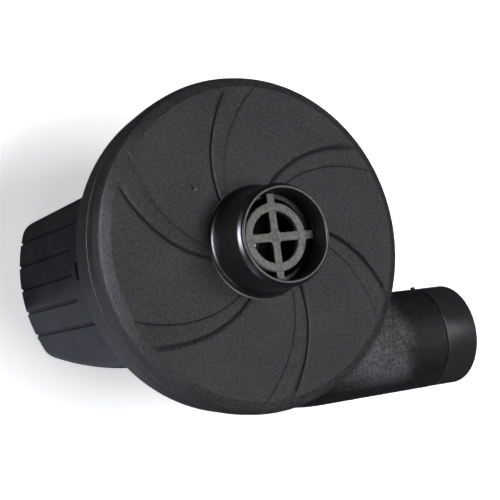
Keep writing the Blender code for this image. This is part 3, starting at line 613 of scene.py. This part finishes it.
def mark_hollows(mesh):
    """Stores how deep in a groove each point of the face lies, from 0 to 1, for the painted shade down in the
    grooves.
    """
    marks = mesh.attributes.new("hollow", "FLOAT", "POINT")
    for vertex, mark in zip(mesh.vertices, marks.data):
        flat = math.hypot(vertex.co.x, vertex.co.y) / MM
        if vertex.co.z < FACE_Z - 3 * MM or flat < COLLAR_RADIUS / MM:
            continue
        degrees = math.degrees(math.atan2(vertex.co.y, vertex.co.x))
        groove = max(0.0, 1 - (across_line(groove_degrees(flat), degrees, flat) / 0.75) ** 2)
        step_place = across_line(step_degrees(flat), degrees, flat) + TROUGH_PLACE
        step = max(0.0, 1 - (step_place / TROUGH_HALF) ** 2)
        mark.value = max(groove, 0.7 * step) * (1 - smoothstep(50.5, 53.5, flat))


def shoulder_profile():
    """The shoulder from the face to the casing's side, a soft chamfer between two round corners."""
    corners = [
        (FACE_RADIUS - 2.0 * MM, FACE_Z, 0),
        (FACE_RADIUS, FACE_Z, 0.8 * MM),
        (CASING_RADIUS - 1.0 * MM, FACE_Z - 1.7 * MM, 2.2 * MM),
        (CASING_RADIUS, FACE_Z - 5.6 * MM, 3.0 * MM),
        (CASING_RADIUS, FACE_Z - 9.0 * MM, 0),
    ]
    return rounded(corners, closed=False, arc_step=5)


def cover_outline():
    """The lid's whole section, from under the collar outward, down to the seam and back inside."""
    face = [(radius * MM, FACE_Z) for radius in (15.2, 17.6, 18.2, 18.8, 19.5, 20.5, *range(22, 50, 2))]
    edge_z = SEAM_Z + SEAM_GAP / 2
    rim = [
        (CASING_RADIUS, FACE_Z - 9.2 * MM, 0),
        (CASING_RADIUS, edge_z, 0.5 * MM),
        (CAVITY_RADIUS, edge_z, 0),
    ]
    inside = [
        (CAVITY_RADIUS, 80 * MM),
        (53.1 * MM, 83 * MM),
        (49.5 * MM, LID_INSIDE_Z),
        (15.2 * MM, LID_INSIDE_Z),
    ]
    return face + shoulder_profile() + rounded(rim, closed=False, arc_step=15)[1:] + inside


def front_cover():
    """The lid: its face with the vanes, a notch for the tube and four screw bosses inside."""
    rows = []
    for radius, height in cover_outline():
        outer_face = height > FACE_Z - 3 * MM
        row = []
        for degrees, groove_place, step_place, share in face_columns(radius):
            angle = math.radians(degrees)
            low = face_relief(radius, groove_place, step_place, share) if outer_face else 0.0
            row.append((radius * math.cos(angle), radius * math.sin(angle), height - low))
        rows.append(row)
    cover = lattice("cover", rows)
    notch = turned("cover_notch", tube_outline(TUBE_RADIUS + 0.1 * MM, -0.2 * MM), 120, closed=False)
    combined(cover, "DIFFERENCE", [along_tube(notch)])
    mark_hollows(cover.data)
    for spot in screw_spots("cover_screw_"):
        boss = rounded([(3.2, 84.8, 0), (3.2, 63.9, 0.3), (1.6, 63.9, 0), (1.6, 75.5, 0)], arc_step=30)
        joined(cover, moved(turned("boss", mm(*boss), 32), (spot.x, spot.y, 0)))
    show(cover, "front_cover_moulding", CASING, replaced=["front_cover"])


def suction_collar():
    """The smooth collar: a concave foot, a drafted wall, a rounded lip and a ledge for the grille."""
    middle = (COLLAR_BASE + COLLAR_FOOT, FACE_Z + COLLAR_FOOT)
    foot = []
    for step in range(9):
        angle = math.radians(270 - 90 * step / 8)
        foot.append((middle[0] + COLLAR_FOOT * math.cos(angle), middle[1] + COLLAR_FOOT * math.sin(angle)))
    wall = rounded(
        [
            (COLLAR_BASE, middle[1] + 0.5 * MM, 0),
            (COLLAR_RADIUS, COLLAR_Z - 2.2 * MM, 1.3 * MM),
            (COLLAR_TIP, COLLAR_Z - 1.2 * MM, 0.5 * MM),
            (COLLAR_TIP, COLLAR_Z, 0.4 * MM),
            (COLLAR_BORE, COLLAR_Z, 0.4 * MM),
            (COLLAR_BORE, LEDGE_Z, 0.2 * MM),
            (COLLAR_LEDGE, LEDGE_Z, 0.3 * MM),
            (COLLAR_LEDGE, FACE_Z - 2.6 * MM, 0.3 * MM),
            (COLLAR_BASE + 1.0 * MM, FACE_Z - 2.5 * MM, 0),
        ],
        closed=False,
        arc_step=15,
    )
    buried = (middle[0], FACE_Z - 0.4 * MM)
    show(turned("collar", [buried, *foot, *wall], 160), "suction_collar", COLLAR)


# ---------------------------------------------------------------- inlet grille


def arc_corners(radius, half_spoke, edge):
    """The arc from one spoke's edge to the next one's, as corners of an outline with rounded ends."""
    start = math.asin(half_spoke / radius)
    steps = 14
    corners = []
    for step in range(steps + 1):
        angle = start + (math.pi / 2 - 2 * start) * step / steps
        end_radius = edge if step in (0, steps) else 0
        corners.append((radius * math.cos(angle), radius * math.sin(angle), end_radius))
    return corners


def quarter_turned(points, quarter):
    """Points turned clockwise by this many right angles."""
    turn = Matrix.Rotation(-math.pi / 2 * quarter, 2)
    return [tuple(turn @ Vector(point)) for point in points]


def inlet_grille():
    """A cross of four spokes under a rounded ring, with a dimpled hub."""
    ring_outer = 11.35 * MM
    ring_inner = 8.5 * MM
    half = 1.4 * MM
    spoke_tip = 14.5 * MM
    thickness = 2.3 * MM
    top = GRILLE_HIGH.z
    tip = spoke_tip * math.cos(math.asin(half / spoke_tip))
    arc = arc_corners(ring_outer, half, 0.5 * MM)
    outside = rounded([(tip, half, 0), *arc, (half, tip, 0)], closed=False, arc_step=20)
    hole = rounded([(half, half, 1.2 * MM), *arc_corners(ring_inner, half, 0.25 * MM)], arc_step=15)
    outline = [point for quarter in range(4, 0, -1) for point in quarter_turned(outside, quarter)]
    holes = [quarter_turned(hole, quarter) for quarter in range(4)]
    plate = flat_plate("grille", [outline, *holes], thickness, 0.3 * MM)
    moved(plate, (0, 0, top - 0.35 * MM - thickness / 2))
    ring_section = [
        (ring_outer, top, 0.55 * MM),
        (ring_outer, top - thickness, 0.3 * MM),
        (ring_inner, top - thickness, 0.3 * MM),
        (ring_inner, top, 0.4 * MM),
    ]
    ring = turned("grille_ring", rounded(ring_section, arc_step=18), 96)
    hub_section = mm((0.35, -0.75), (0.6, -0.3), (0.95, -0.1), (1.4, -0.2), (1.9, -0.45), (2.0, -1.2))
    hub = moved(turned("grille_hub", hub_section, 40, closed=False), (0, 0, top))
    joined(plate, ring, hub)
    show(plate, "inlet_grille_moulding", GRILLE, replaced=["inlet_grille"])


# ---------------------------------------------------------------- rear shell and outlet tube


def tube_radius(x):
    """The tube's outer radius along its axis: it swells from its domed start to its full size."""
    return TUBE_RADIUS - TUBE_SWELL * (1 - smoothstep(0.0, TUBE_SWELL_X, x))


def tube_outline(radius, start=0.0, end=TUBE_END_X + 4 * MM):
    """The tube's side from its open end back to its domed start, for a solid turned about its own axis."""
    thinner = TUBE_RADIUS - radius
    side = [(radius, end)]
    for step in range(6):
        x = start + (TUBE_SWELL_X - start) * (1 - step / 5)
        side.append((tube_radius(x) - thinner, x))
    base = side[-1][0]
    for step in range(1, 9):
        angle = math.radians(90 * step / 8.2)
        side.append((base * math.cos(angle), start - TUBE_DOME * math.sin(angle)))
    return side


def casing_side():
    """The casing's outside as a section, from the middle of the face to the middle of the back."""
    side = [(0.0, FACE_Z), *shoulder_profile(), (CASING_RADIUS, BACK_Z + BACK_ROUND)]
    for step in range(1, 7):
        angle = math.radians(90 * step / 6)
        across = CASING_RADIUS - BACK_ROUND * (1 - math.cos(angle))
        side.append((across, BACK_Z + BACK_ROUND * (1 - math.sin(angle))))
    return [Vector(point) for point in (*side, (0.0, BACK_Z))]


CASING_SIDE = casing_side()


def casing_distance(across, height):
    """How far a point is from the casing's outside, and the nearest place there, both as in its section."""
    place = Vector((across, height))
    found = []
    for start, end in zip(CASING_SIDE, CASING_SIDE[1:]):
        run = end - start
        share = min(max((place - start).dot(run) / run.length_squared, 0), 1)
        touch = start + run * share
        found.append(((place - touch).length, touch))
    return min(found, key=lambda pair: pair[0])


def fillet_ball(angle, radius, clear):
    """A ball that rests on tube and casing, this far clear of the casing: its centre and both touches."""
    ray = Vector((0, math.cos(angle), math.sin(angle)))
    x = TUBE_END_X
    while x > 0.0:
        centre = Vector((x, TUBE_Y, TUBE_Z)) + ray * (tube_radius(x) + radius)
        across = math.hypot(centre.x, centre.y)
        gap, touch = casing_distance(across, centre.z)
        if gap <= radius + clear:
            share = touch.x / across
            toward = Vector((centre.x * share, centre.y * share, touch.y)) - centre
            return centre, centre - ray * radius, centre + toward.normalized() * radius
        x -= 0.05 * MM
    return None


def root_fillet():
    """The web that fills the corner between tube and casing, its free edge standing just clear of the lid."""
    rows = []
    for degrees in range(-20, 169, 4):
        radius = (6.5 - 5.1 * smoothstep(5, 80, degrees)) * MM
        clear = 0.35 * MM * smoothstep(34, 50, degrees)
        found = fillet_ball(math.radians(degrees), radius, clear)
        if not found:
            continue
        centre, on_tube, on_casing = found
        first = (on_tube - centre).normalized()
        last = (on_casing - centre).normalized()
        sweep = first.angle(last)
        if sweep < math.radians(12):
            continue
        row = []
        for step in range(9):
            share = step / 8
            ray = (first * math.sin((1 - share) * sweep) + last * math.sin(share * sweep)) / math.sin(sweep)
            row.append(centre + ray.normalized() * radius)
        deep = (first + last).normalized()
        row.append(row[-1] + last * 0.9 * MM)
        row.append(centre + deep * (radius / math.cos(sweep / 2) + 0.5 * MM))
        row.append(row[0] + first * 0.9 * MM)
        rows.append(row)
    return lattice("root_fillet", rows, closed=False)


def rear_shell():
    """The deep half of the casing, open where the outlet tube leaves it."""
    edge_z = SEAM_Z - SEAM_GAP / 2
    wall = [
        (CASING_RADIUS, edge_z, 0.5 * MM),
        (CASING_RADIUS - 1.0 * MM, BACK_Z, 4.6 * MM),
        (6.6 * MM, BACK_Z, 0),
        (6.6 * MM, FLOOR_Z, 0),
        (CAVITY_RADIUS, FLOOR_Z, 2.2 * MM),
        (CAVITY_RADIUS, edge_z, 0.2 * MM),
    ]
    shell = turned("shell", rounded(wall, arc_step=10), 216)
    bore = turned("bore_cut", tube_outline(TUBE_BORE + 1.0 * MM, 1.5 * MM, 80 * MM), 96, closed=False)
    combined(shell, "DIFFERENCE", [along_tube(bore)])
    show(shell, "rear_shell_moulding", CASING)


def outlet_tube():
    """The tube that leaves the casing at a tangent, with its root fillet and a spigot under the ring."""
    spigot_x = RING_X - 0.2 * MM
    mouth_x = TUBE_END_X - RING_LIP - 0.3 * MM
    spigot = TUBE_RADIUS - 1.1 * MM
    mouth = [(spigot, mouth_x), (spigot, spigot_x)]
    mouth += [(TUBE_RADIUS - 0.35 * MM, spigot_x), (TUBE_RADIUS, spigot_x - 0.35 * MM)]
    inside = tube_outline(TUBE_BORE, 2.2 * MM, mouth_x)
    outside = tube_outline(TUBE_RADIUS, 0.0, spigot_x)
    tube = along_tube(turned("tube", inside[::-1] + mouth + outside[1:], 144))
    cavity = [(CAVITY_RADIUS, COLLAR_Z), (CAVITY_RADIUS, FLOOR_Z), (MM, FLOOR_Z)]
    combined(tube, "DIFFERENCE", [turned("cavity_cut", cavity, 216, closed=False)])
    joined(tube, root_fillet())
    show(tube, "outlet_tube_moulding", TUBE, replaced=["rear_shell"])


def outlet_ring():
    """The smooth ring round the tube's mouth, with soft edges and a small nib that locates it."""
    start = RING_X + 0.1 * MM
    seat = TUBE_END_X - RING_LIP
    section = [
        (TUBE_RADIUS - 0.05 * MM, start, 0.35 * MM),
        (TUBE_RADIUS, TUBE_END_X, 0.9 * MM),
        (TUBE_BORE, TUBE_END_X, 0.7 * MM),
        (TUBE_BORE, seat, 0),
        (TUBE_RADIUS - 0.9 * MM, seat, 0),
        (TUBE_RADIUS - 0.9 * MM, start, 0.1 * MM),
    ]
    ring = along_tube(turned("ring", rounded(section), 144))
    nib_low = (RING_X + 0.3 * MM, TUBE_Y + TUBE_RADIUS - 0.6 * MM, TUBE_Z - 0.9 * MM)
    nib_high = (RING_X + 1.5 * MM, TUBE_Y + TUBE_RADIUS + 0.8 * MM, TUBE_Z + 0.9 * MM)
    joined(ring, block("nib", nib_low, nib_high, 0.35 * MM))
    show(ring, "outlet_ring_moulding", RING, replaced=["outlet_ring"])


# ---------------------------------------------------------------- motor housing


def barrel_corners(z):
    """At a height: the housing's half width, top, bottom, and the middles of a high and a low corner."""
    share = z / BACK_Z
    top = HOUSING_TOP + MM * share
    bottom = HOUSING_BOTTOM - 13.5 * MM * share + 7.0 * MM * share**2
    side = HALF_WIDTH - MM * share
    high_y = top - HOUSING_CORNER
    low_y = bottom + HOUSING_CORNER
    high_x = math.sqrt((side - HOUSING_CORNER) ** 2 - high_y**2)
    low_x = math.sqrt((side - HOUSING_CORNER) ** 2 - low_y**2)
    return side, top, bottom, (high_x, high_y), (low_x, low_y)


def grip_angle(number):
    """How far up the arched side a grip groove lies, counted from the middle one."""
    return math.asin((GRIP_CENTRE + GRIP_PITCH * number) / HALF_WIDTH)


def side_columns(low, high):
    """Angles up one arched side, close at each grip groove: (angle, (groove, place across it in mm))."""
    columns = [(low, None)]
    for number in range(-2, 3):
        middle = grip_angle(number)
        for place in GRIP_PLACES:
            columns.append((middle + place * MM / HALF_WIDTH, (number, place)))
        if number < 2:
            columns.append(((middle + grip_angle(number + 1)) / 2, None))
    columns.append((high, None))
    return columns


def grip_depth(z, mark):
    """The grip groove's depth at a height; the three middle grooves stop short of the casing."""
    if mark is None:
        return 0.0
    number, place = mark
    stop = 61.6 * MM if abs(number) == 2 else 55.4 * MM
    profile = max(0.0, 1 - (place / 0.62) ** 4)
    return GRIP_DEPTH * profile * (1 - smoothstep(stop - 0.5 * MM, stop + 0.3 * MM, z))


def barrel_row(z, inset, grooved=True):
    """One ring of points round the housing: arched sides, flat top and bottom, round corners."""
    side, top, bottom, (high_x, high_y), (low_x, low_y) = barrel_corners(z)
    high_angle = math.atan2(high_y, high_x)
    low_angle = math.atan2(low_y, low_x)
    columns = side_columns(low_angle, high_angle)
    corner_steps = 12
    row = []

    def flank(marked_angles, way):
        for angle, mark in marked_angles:
            radius = side - inset - (grip_depth(z, mark) if grooved else 0.0)
            row.append((way * radius * math.cos(angle), radius * math.sin(angle), z))

    def corner(x, y, start, sweep, points):
        radius = HOUSING_CORNER - inset
        for step in range(points):
            angle = start + sweep * step / corner_steps
            row.append((x + radius * math.cos(angle), y + radius * math.sin(angle), z))

    def flat(x, y):
        for share in (0.2, 0.4, 0.6, 0.8):
            row.append((x * (1 - 2 * share), y, z))

    flank(columns[:-1], 1)
    corner(high_x, high_y, high_angle, math.pi / 2 - high_angle, corner_steps + 1)
    flat(high_x, top - inset)
    corner(-high_x, high_y, math.pi / 2, math.pi / 2 - high_angle, corner_steps)
    flank(columns[:0:-1], -1)
    corner(-low_x, low_y, math.pi - low_angle, math.pi / 2 + low_angle, corner_steps + 1)
    flat(-low_x, bottom + inset)
    corner(low_x, low_y, 1.5 * math.pi, math.pi / 2 + low_angle, corner_steps)
    return row


def housing_cup():
    """The cup itself, from its rounded rear edge up to a rim sunk in the casing, and back down inside."""
    top = HOUSING_HIGH.z + 3.0 * MM
    rows = []
    for step in range(7):
        angle = math.radians(90 * step / 6)
        rows.append(barrel_row(HOUSING_EDGE * (1 - math.cos(angle)), HOUSING_EDGE * (1 - math.sin(angle))))
    coarse = (4, 8, 14, 20, 26, 32, 38, 44, 50, 54)
    at_groove_ends = (54.9, 55.2, 55.5, 55.8, 57, 60, 61.1, 61.4, 61.7, 62.1, 62.8)
    for z in coarse + at_groove_ends:
        rows.append(barrel_row(z * MM, 0.0))
    for below, inset in mm((0.5, 0.08), (0.15, 0.25), (0, 0.5)):
        rows.append(barrel_row(top - below, inset))
    rows.append(barrel_row(top, HOUSING_WALL, False))
    for z in (50, 35, 20, 8, 2.4):
        rows.append(barrel_row(z * MM, HOUSING_WALL, False))
    return lattice("housing", rows, closed=False)


def panel_block(name, half_x, half_z, low_y, high_y, edge=0.0):
    """A block about the switch's middle, for the switch and for its opening in the housing."""
    low = (SWITCH_MIDDLE.x - half_x, low_y, SWITCH_MIDDLE.z - half_z)
    return block(name, low, (SWITCH_MIDDLE.x + half_x, high_y, SWITCH_MIDDLE.z + half_z), edge)


def housing_cuts():
    """What is cut from the cup: screw wells, vents, switch and socket openings, a slit, the tube's seat."""
    tools = []
    for spot in screw_spots("housing_screw_"):
        well = turned("well", [(WELL_RADIUS, -MM), (WELL_RADIUS, 10 * MM)], 48, closed=False)
        tools.append(moved(well, (spot.x, spot.y, 0)))
    for number in range(6):
        x = 4.4 * (number - 2.5)
        low, high = mm((x - 0.8, 18.5, 14), (x + 0.8, 26, 32))
        tools.append(block("vent", low, high, 0.75 * MM))
    tools.append(panel_block("switch_cut", 6.8 * MM, 4.5 * MM, 15 * MM, 28 * MM))
    socket = turned("socket_cut", mm((4.8, 10), (4.8, -10)), 48, closed=False)
    tools.append(moved(socket, (SOCKET_MIDDLE.x, 22 * MM, SWITCH_MIDDLE.z), (math.pi / 2, 0, 0)))
    slit_low = (-HALF_WIDTH - MM, -5.0 * MM, 59.3 * MM)
    tools.append(block("slit", slit_low, (-HALF_WIDTH + 1.9 * MM, 1.0 * MM, 61.4 * MM)))
    seat = turned("seat", tube_outline(TUBE_RADIUS + 0.4 * MM, -0.4 * MM), 96, closed=False)
    tools.append(along_tube(seat))
    return tools


def mark_grips(mesh):
    """Stores how deep in a grip groove each point of the housing's sides lies, from 0 to 1, for painted shade
    there.
    """
    marks = mesh.attributes.new("hollow", "FLOAT", "POINT")
    for vertex, mark in zip(mesh.vertices, marks.data):
        depth = barrel_corners(vertex.co.z)[0] - math.hypot(vertex.co.x, vertex.co.y)
        if abs(vertex.co.x) > 40 * MM and vertex.co.z > 3 * MM and depth < MM:
            mark.value = smoothstep(0.2 * MM, 0.55 * MM, depth)


def motor_housing():
    """The deep barrel-shaped cup with its grip grooves and openings, and a hollow column for each screw."""
    housing = combined(housing_cup(), "DIFFERENCE", housing_cuts())
    mark_grips(housing.data)
    column = mm((3.9, 0.6), (3.9, 60.4), (1.6, 60.4), (1.6, 46.0))
    section = [(WELL_RADIUS, 0.6 * MM), *column, (WELL_RADIUS, 46.0 * MM)]
    for spot in screw_spots("housing_screw_"):
        joined(housing, moved(turned("column", section, 48), (spot.x, spot.y, 0)))
    show(housing, "motor_housing_moulding", HOUSING, replaced=["motor_housing"])


# ---------------------------------------------------------------- switch, socket, screws and marks


def switch():
    """The switch's body: a soft-edged bezel with a deep pocket for the rocker."""
    front = SWITCH_HIGH.y
    bezel_y = front - 1.6 * MM
    bezel = block("bezel", (SWITCH_LOW.x, bezel_y, SWITCH_LOW.z), SWITCH_HIGH, 0.5 * MM)
    body = panel_block("body", 6.4 * MM, 4.1 * MM, SWITCH_LOW.y, bezel_y + 0.8 * MM, 0.3 * MM)
    combined(body, "UNION", [bezel])
    pocket = panel_block("pocket", 5.6 * MM, 3.3 * MM, front - 6.9 * MM, front + MM, 0.25 * MM)
    combined(body, "DIFFERENCE", [pocket])
    show(body, "switch_body_moulding", SWITCH, replaced=["switch_body"])


def rocker():
    """The rocker, dished between its ends, with a bar at the on end and a ring at the off end."""
    turn = (0, 0, math.radians(ROCKER_TILT))
    foot = [(-4.5, -1.6, 0.5), (4.5, -1.6, 0.5)]
    dish = [(4.7, 3.4, 0.35), (2.4, 2.9, 3.0), (0.0, 2.7, 6.0), (-2.4, 2.9, 3.0), (-4.7, 3.4, 0.35)]
    made = flat_plate("rocker", [rounded(mm(*foot, *dish), arc_step=10)], 6.0 * MM, 0.3 * MM)
    moved(made, ROCKER_PIVOT, turn)
    show(made, "switch_rocker_moulding", SWITCH, "rocker", ["switch_rocker"])
    bar = block("bar", *mm((-3.35, 2.75, -0.85), (-3.05, 3.12, 0.85)), 0.05 * MM, 2)
    ring = turned("off_ring", mm((0.6, -0.2), (0.85, -0.2), (0.85, 0.06), (0.6, 0.06)), 40)
    moved(ring, (3.0 * MM, 3.06 * MM, 0), (-math.pi / 2, 0, math.radians(12)))
    moved(joined(bar, ring), ROCKER_PIVOT, turn)
    show(bar, "switch_rocker_marks", MARK_WHITE, "rocker")


def arrow_mark(name, place, degrees):
    """A small raised arrow that lies flat at this place, turned from +Y by these degrees."""
    half = 2.1
    shaft = 0.384
    neck = 0.78
    barb = 1.2
    right = [(shaft, -half), (shaft, neck), (barb, neck), (0.0, half)]
    left = [(-x, y) for x, y in right[-2::-1]]
    mark = flat_plate(name, [mm(*right, *left)], 0.5 * MM, 0.1 * MM)
    moved(mark, place, (0, 0, math.radians(degrees)))
    show(mark, name, COLLAR)


def arrows():
    """The marks that show air going in at the collar and coming out of the tube."""
    rise = 0.02 * MM
    arrow_mark("inlet_arrow_mark", (-22.5 * MM, 19.5 * MM, FACE_Z + rise), -130)
    arrow_mark("outlet_arrow_mark", (52 * MM, TUBE_Y, TUBE_Z + TUBE_RADIUS + rise), -90)


def charging_socket():
    """The round socket with its pin, turned about +Z and then laid along +Y."""
    front = SOCKET_HIGH.y / MM
    body = [(0.5, 12.0, 0), (4.4, 12.0, 0.3), (4.4, 22.9, 0)]
    rim = [(5.6, 22.9, 0.1), (5.6, front, 0.5), (3.1, front, 0.3)]
    inside = [(3.1, 14.0, 0), (0.5, 14.0, 0)]
    socket = turned("socket", rounded(mm(*body, *rim, *inside), arc_step=18), 72)
    pin = turned("pin", mm((0.45, 13), (1.0, 13), (1.0, 21), (0.7, 21.5)), 32, closed=False)
    joined(socket, pin)
    moved(socket, (SOCKET_MIDDLE.x, 0, SOCKET_MIDDLE.z), (-math.pi / 2, 0, 0))
    show(socket, "charging_socket_moulding", SWITCH, replaced=["charging_socket"])


def cross_screw(name, spot):
    """A pan-headed screw with a cross recess, its head down and the head's outside at the spot."""
    dome = []
    for degrees in (0, 20, 40, 60, 75, 85):
        angle = math.radians(degrees)
        dome.append((2.6 * math.cos(angle), 1.3 * (1 - math.sin(angle))))
    outline = [(0.3, 14.8), (1.3, 14.0), (1.3, 1.8), (2.5, 1.8), *dome, (0.1, 0.0)]
    made = turned(name, mm(*outline), 48, closed=False)
    for degrees in (20, 110):
        slot = block(f"{name}_slot", *mm((-1.45, -0.32, -0.2), (1.45, 0.32, 1.05)), 0.1 * MM, 1)
        combined(made, "DIFFERENCE", [moved(slot, (0, 0, 0), (0, 0, math.radians(degrees)))])
    return moved(made, spot)


def screws():
    """A turned screw in place of each CAD screw of the cover and the housing."""
    for prefix in ("cover_screw_", "housing_screw_"):
        for number, spot in enumerate(screw_spots(prefix), 1):
            node = f"{prefix}{number}"
            show(cross_screw(node, spot), f"{node}_turned", SCREW_STEEL, replaced=[node])


def inner_nodes():
    """The CAD nodes that stay, each in a material of its own slot."""
    slots = {entry["node"]: entry["material_slot"] for entry in frame["record"]["subparts"]}
    for name, node in frame["nodes"].items():
        if slots[name] in INNER:
            node.data.materials.clear()
            node.data.materials.append(INNER[slots[name]])


# ---------------------------------------------------------------- stage, lights and camera


def glowing(name, cloud_size, shades, roughness, glow, strength):
    """A slightly cloudy surface, between two shades of grey, that gives off some light of its own."""
    nodes = Nodes(name)
    low, high = shades
    tint = nodes.ramp(nodes.noise(cloud_size, 2), [(0.3, (low,) * 3), (0.7, (high,) * 3)])
    nodes.link(tint, nodes.shader.inputs["Base Color"])
    nodes.shader.inputs["Roughness"].default_value = roughness
    nodes.shader.inputs["Emission Color"].default_value = (*glow, 1)
    nodes.shader.inputs["Emission Strength"].default_value = strength
    return nodes.material


def sheet(name, half_size, place, material):
    """A level square."""
    shape = bmesh.new()
    bmesh.ops.create_grid(shape, x_segments=1, y_segments=1, size=half_size)
    made = finished(name, shape)
    made.location = place
    made.data.materials.append(material)
    return made


def floor():
    """The pale floor, which isn't mirrored in the plastic."""
    pale = glowing("pale_floor", 0.3, (0.86, 0.9), 0.8, (1, 1, 1), 0.55)
    made = sheet("floor", 3.0, (0, 0, -0.02 * MM), pale)
    made.visible_glossy = False


def reflector():
    """A dim, cool card flat on the floor beside the housing, seen only in reflections."""
    cool = glowing("cool_card", 0.05, (0.02, 0.03), 0.9, (0.8, 0.82, 1.0), 0.44)
    card = sheet("reflector", 0.12, Vector((-150, -130, 0.5)) * MM, cool)
    card.visible_camera = False
    card.visible_diffuse = False
    card.visible_shadow = False


def backdrop():
    """A pale wall far behind the object on every side, which gives it no light and takes none."""
    wall = turned("backdrop", [(2.9, -0.02), (2.9, 3.0), (2.95, 3.0), (2.95, -0.02)], 96)
    wall.data.materials.append(glowing("pale_wall", 0.4, (0.70, 0.74), 0.9, (1, 1, 1), 0.55))
    wall.visible_diffuse = False
    wall.visible_glossy = False
    wall.visible_shadow = False


def panel_light(name, direction, distance, size, power, color=(1, 1, 1)):
    """A soft rectangular light that looks at the casing from this direction."""
    data = bpy.data.lights.new(name, "AREA")
    data.shape = "RECTANGLE"
    data.size = size[0]
    data.size_y = size[1]
    data.energy = power
    data.color = color
    made = new_object(name, data)
    away = Vector(direction).normalized()
    made.location = LIGHT_TARGET + away * distance
    made.rotation_euler = away.to_track_quat("Z", "Y").to_euler()
    return made


def lights():
    """Two key lights over the face, a strip for the narrow highlights on the left and a weak low fill."""
    world = bpy.data.worlds.new("studio")
    world.use_nodes = True
    background = world.node_tree.nodes["Background"]
    background.inputs["Color"].default_value = (1, 1, 1, 1)
    background.inputs["Strength"].default_value = 0.02
    bpy.context.scene.world = world
    bpy.context.scene.view_settings.view_transform = "Standard"
    panel_light("key_right", (0.46, 0.11, 0.88), 1.0, (0.34, 0.34), 5.1)
    panel_light("key_front", (0.21, -0.18, 0.96), 1.0, (0.34, 0.34), 6.1)
    strip = panel_light("left_strip", (-0.91, 0.09, 0.36), 1.0, (0.5, 0.13), 50.0, (0.9, 0.89, 1.0))
    strip.visible_diffuse = False
    panel_light("low_left", (-0.62, -0.78, 0.08), 1.2, (0.5, 0.5), 6.0, (0.88, 0.87, 1.0))


def camera():
    """The photo's view."""
    data = bpy.data.cameras.new("camera")
    data.lens = CAMERA_LENS
    data.sensor_width = 36
    data.shift_x = CAMERA_SHIFT[0]
    data.shift_y = CAMERA_SHIFT[1]
    data.clip_start = 0.01
    made = new_object("camera", data)
    made.location = CAMERA_PLACE
    made.rotation_euler = Euler([math.radians(turn) for turn in CAMERA_TURN])
    bpy.context.scene.camera = made


front_cover()
suction_collar()
inlet_grille()
rear_shell()
outlet_tube()
outlet_ring()
motor_housing()
switch()
rocker()
charging_socket()
screws()
arrows()
inner_nodes()
floor()
reflector()
backdrop()
lights()
camera()
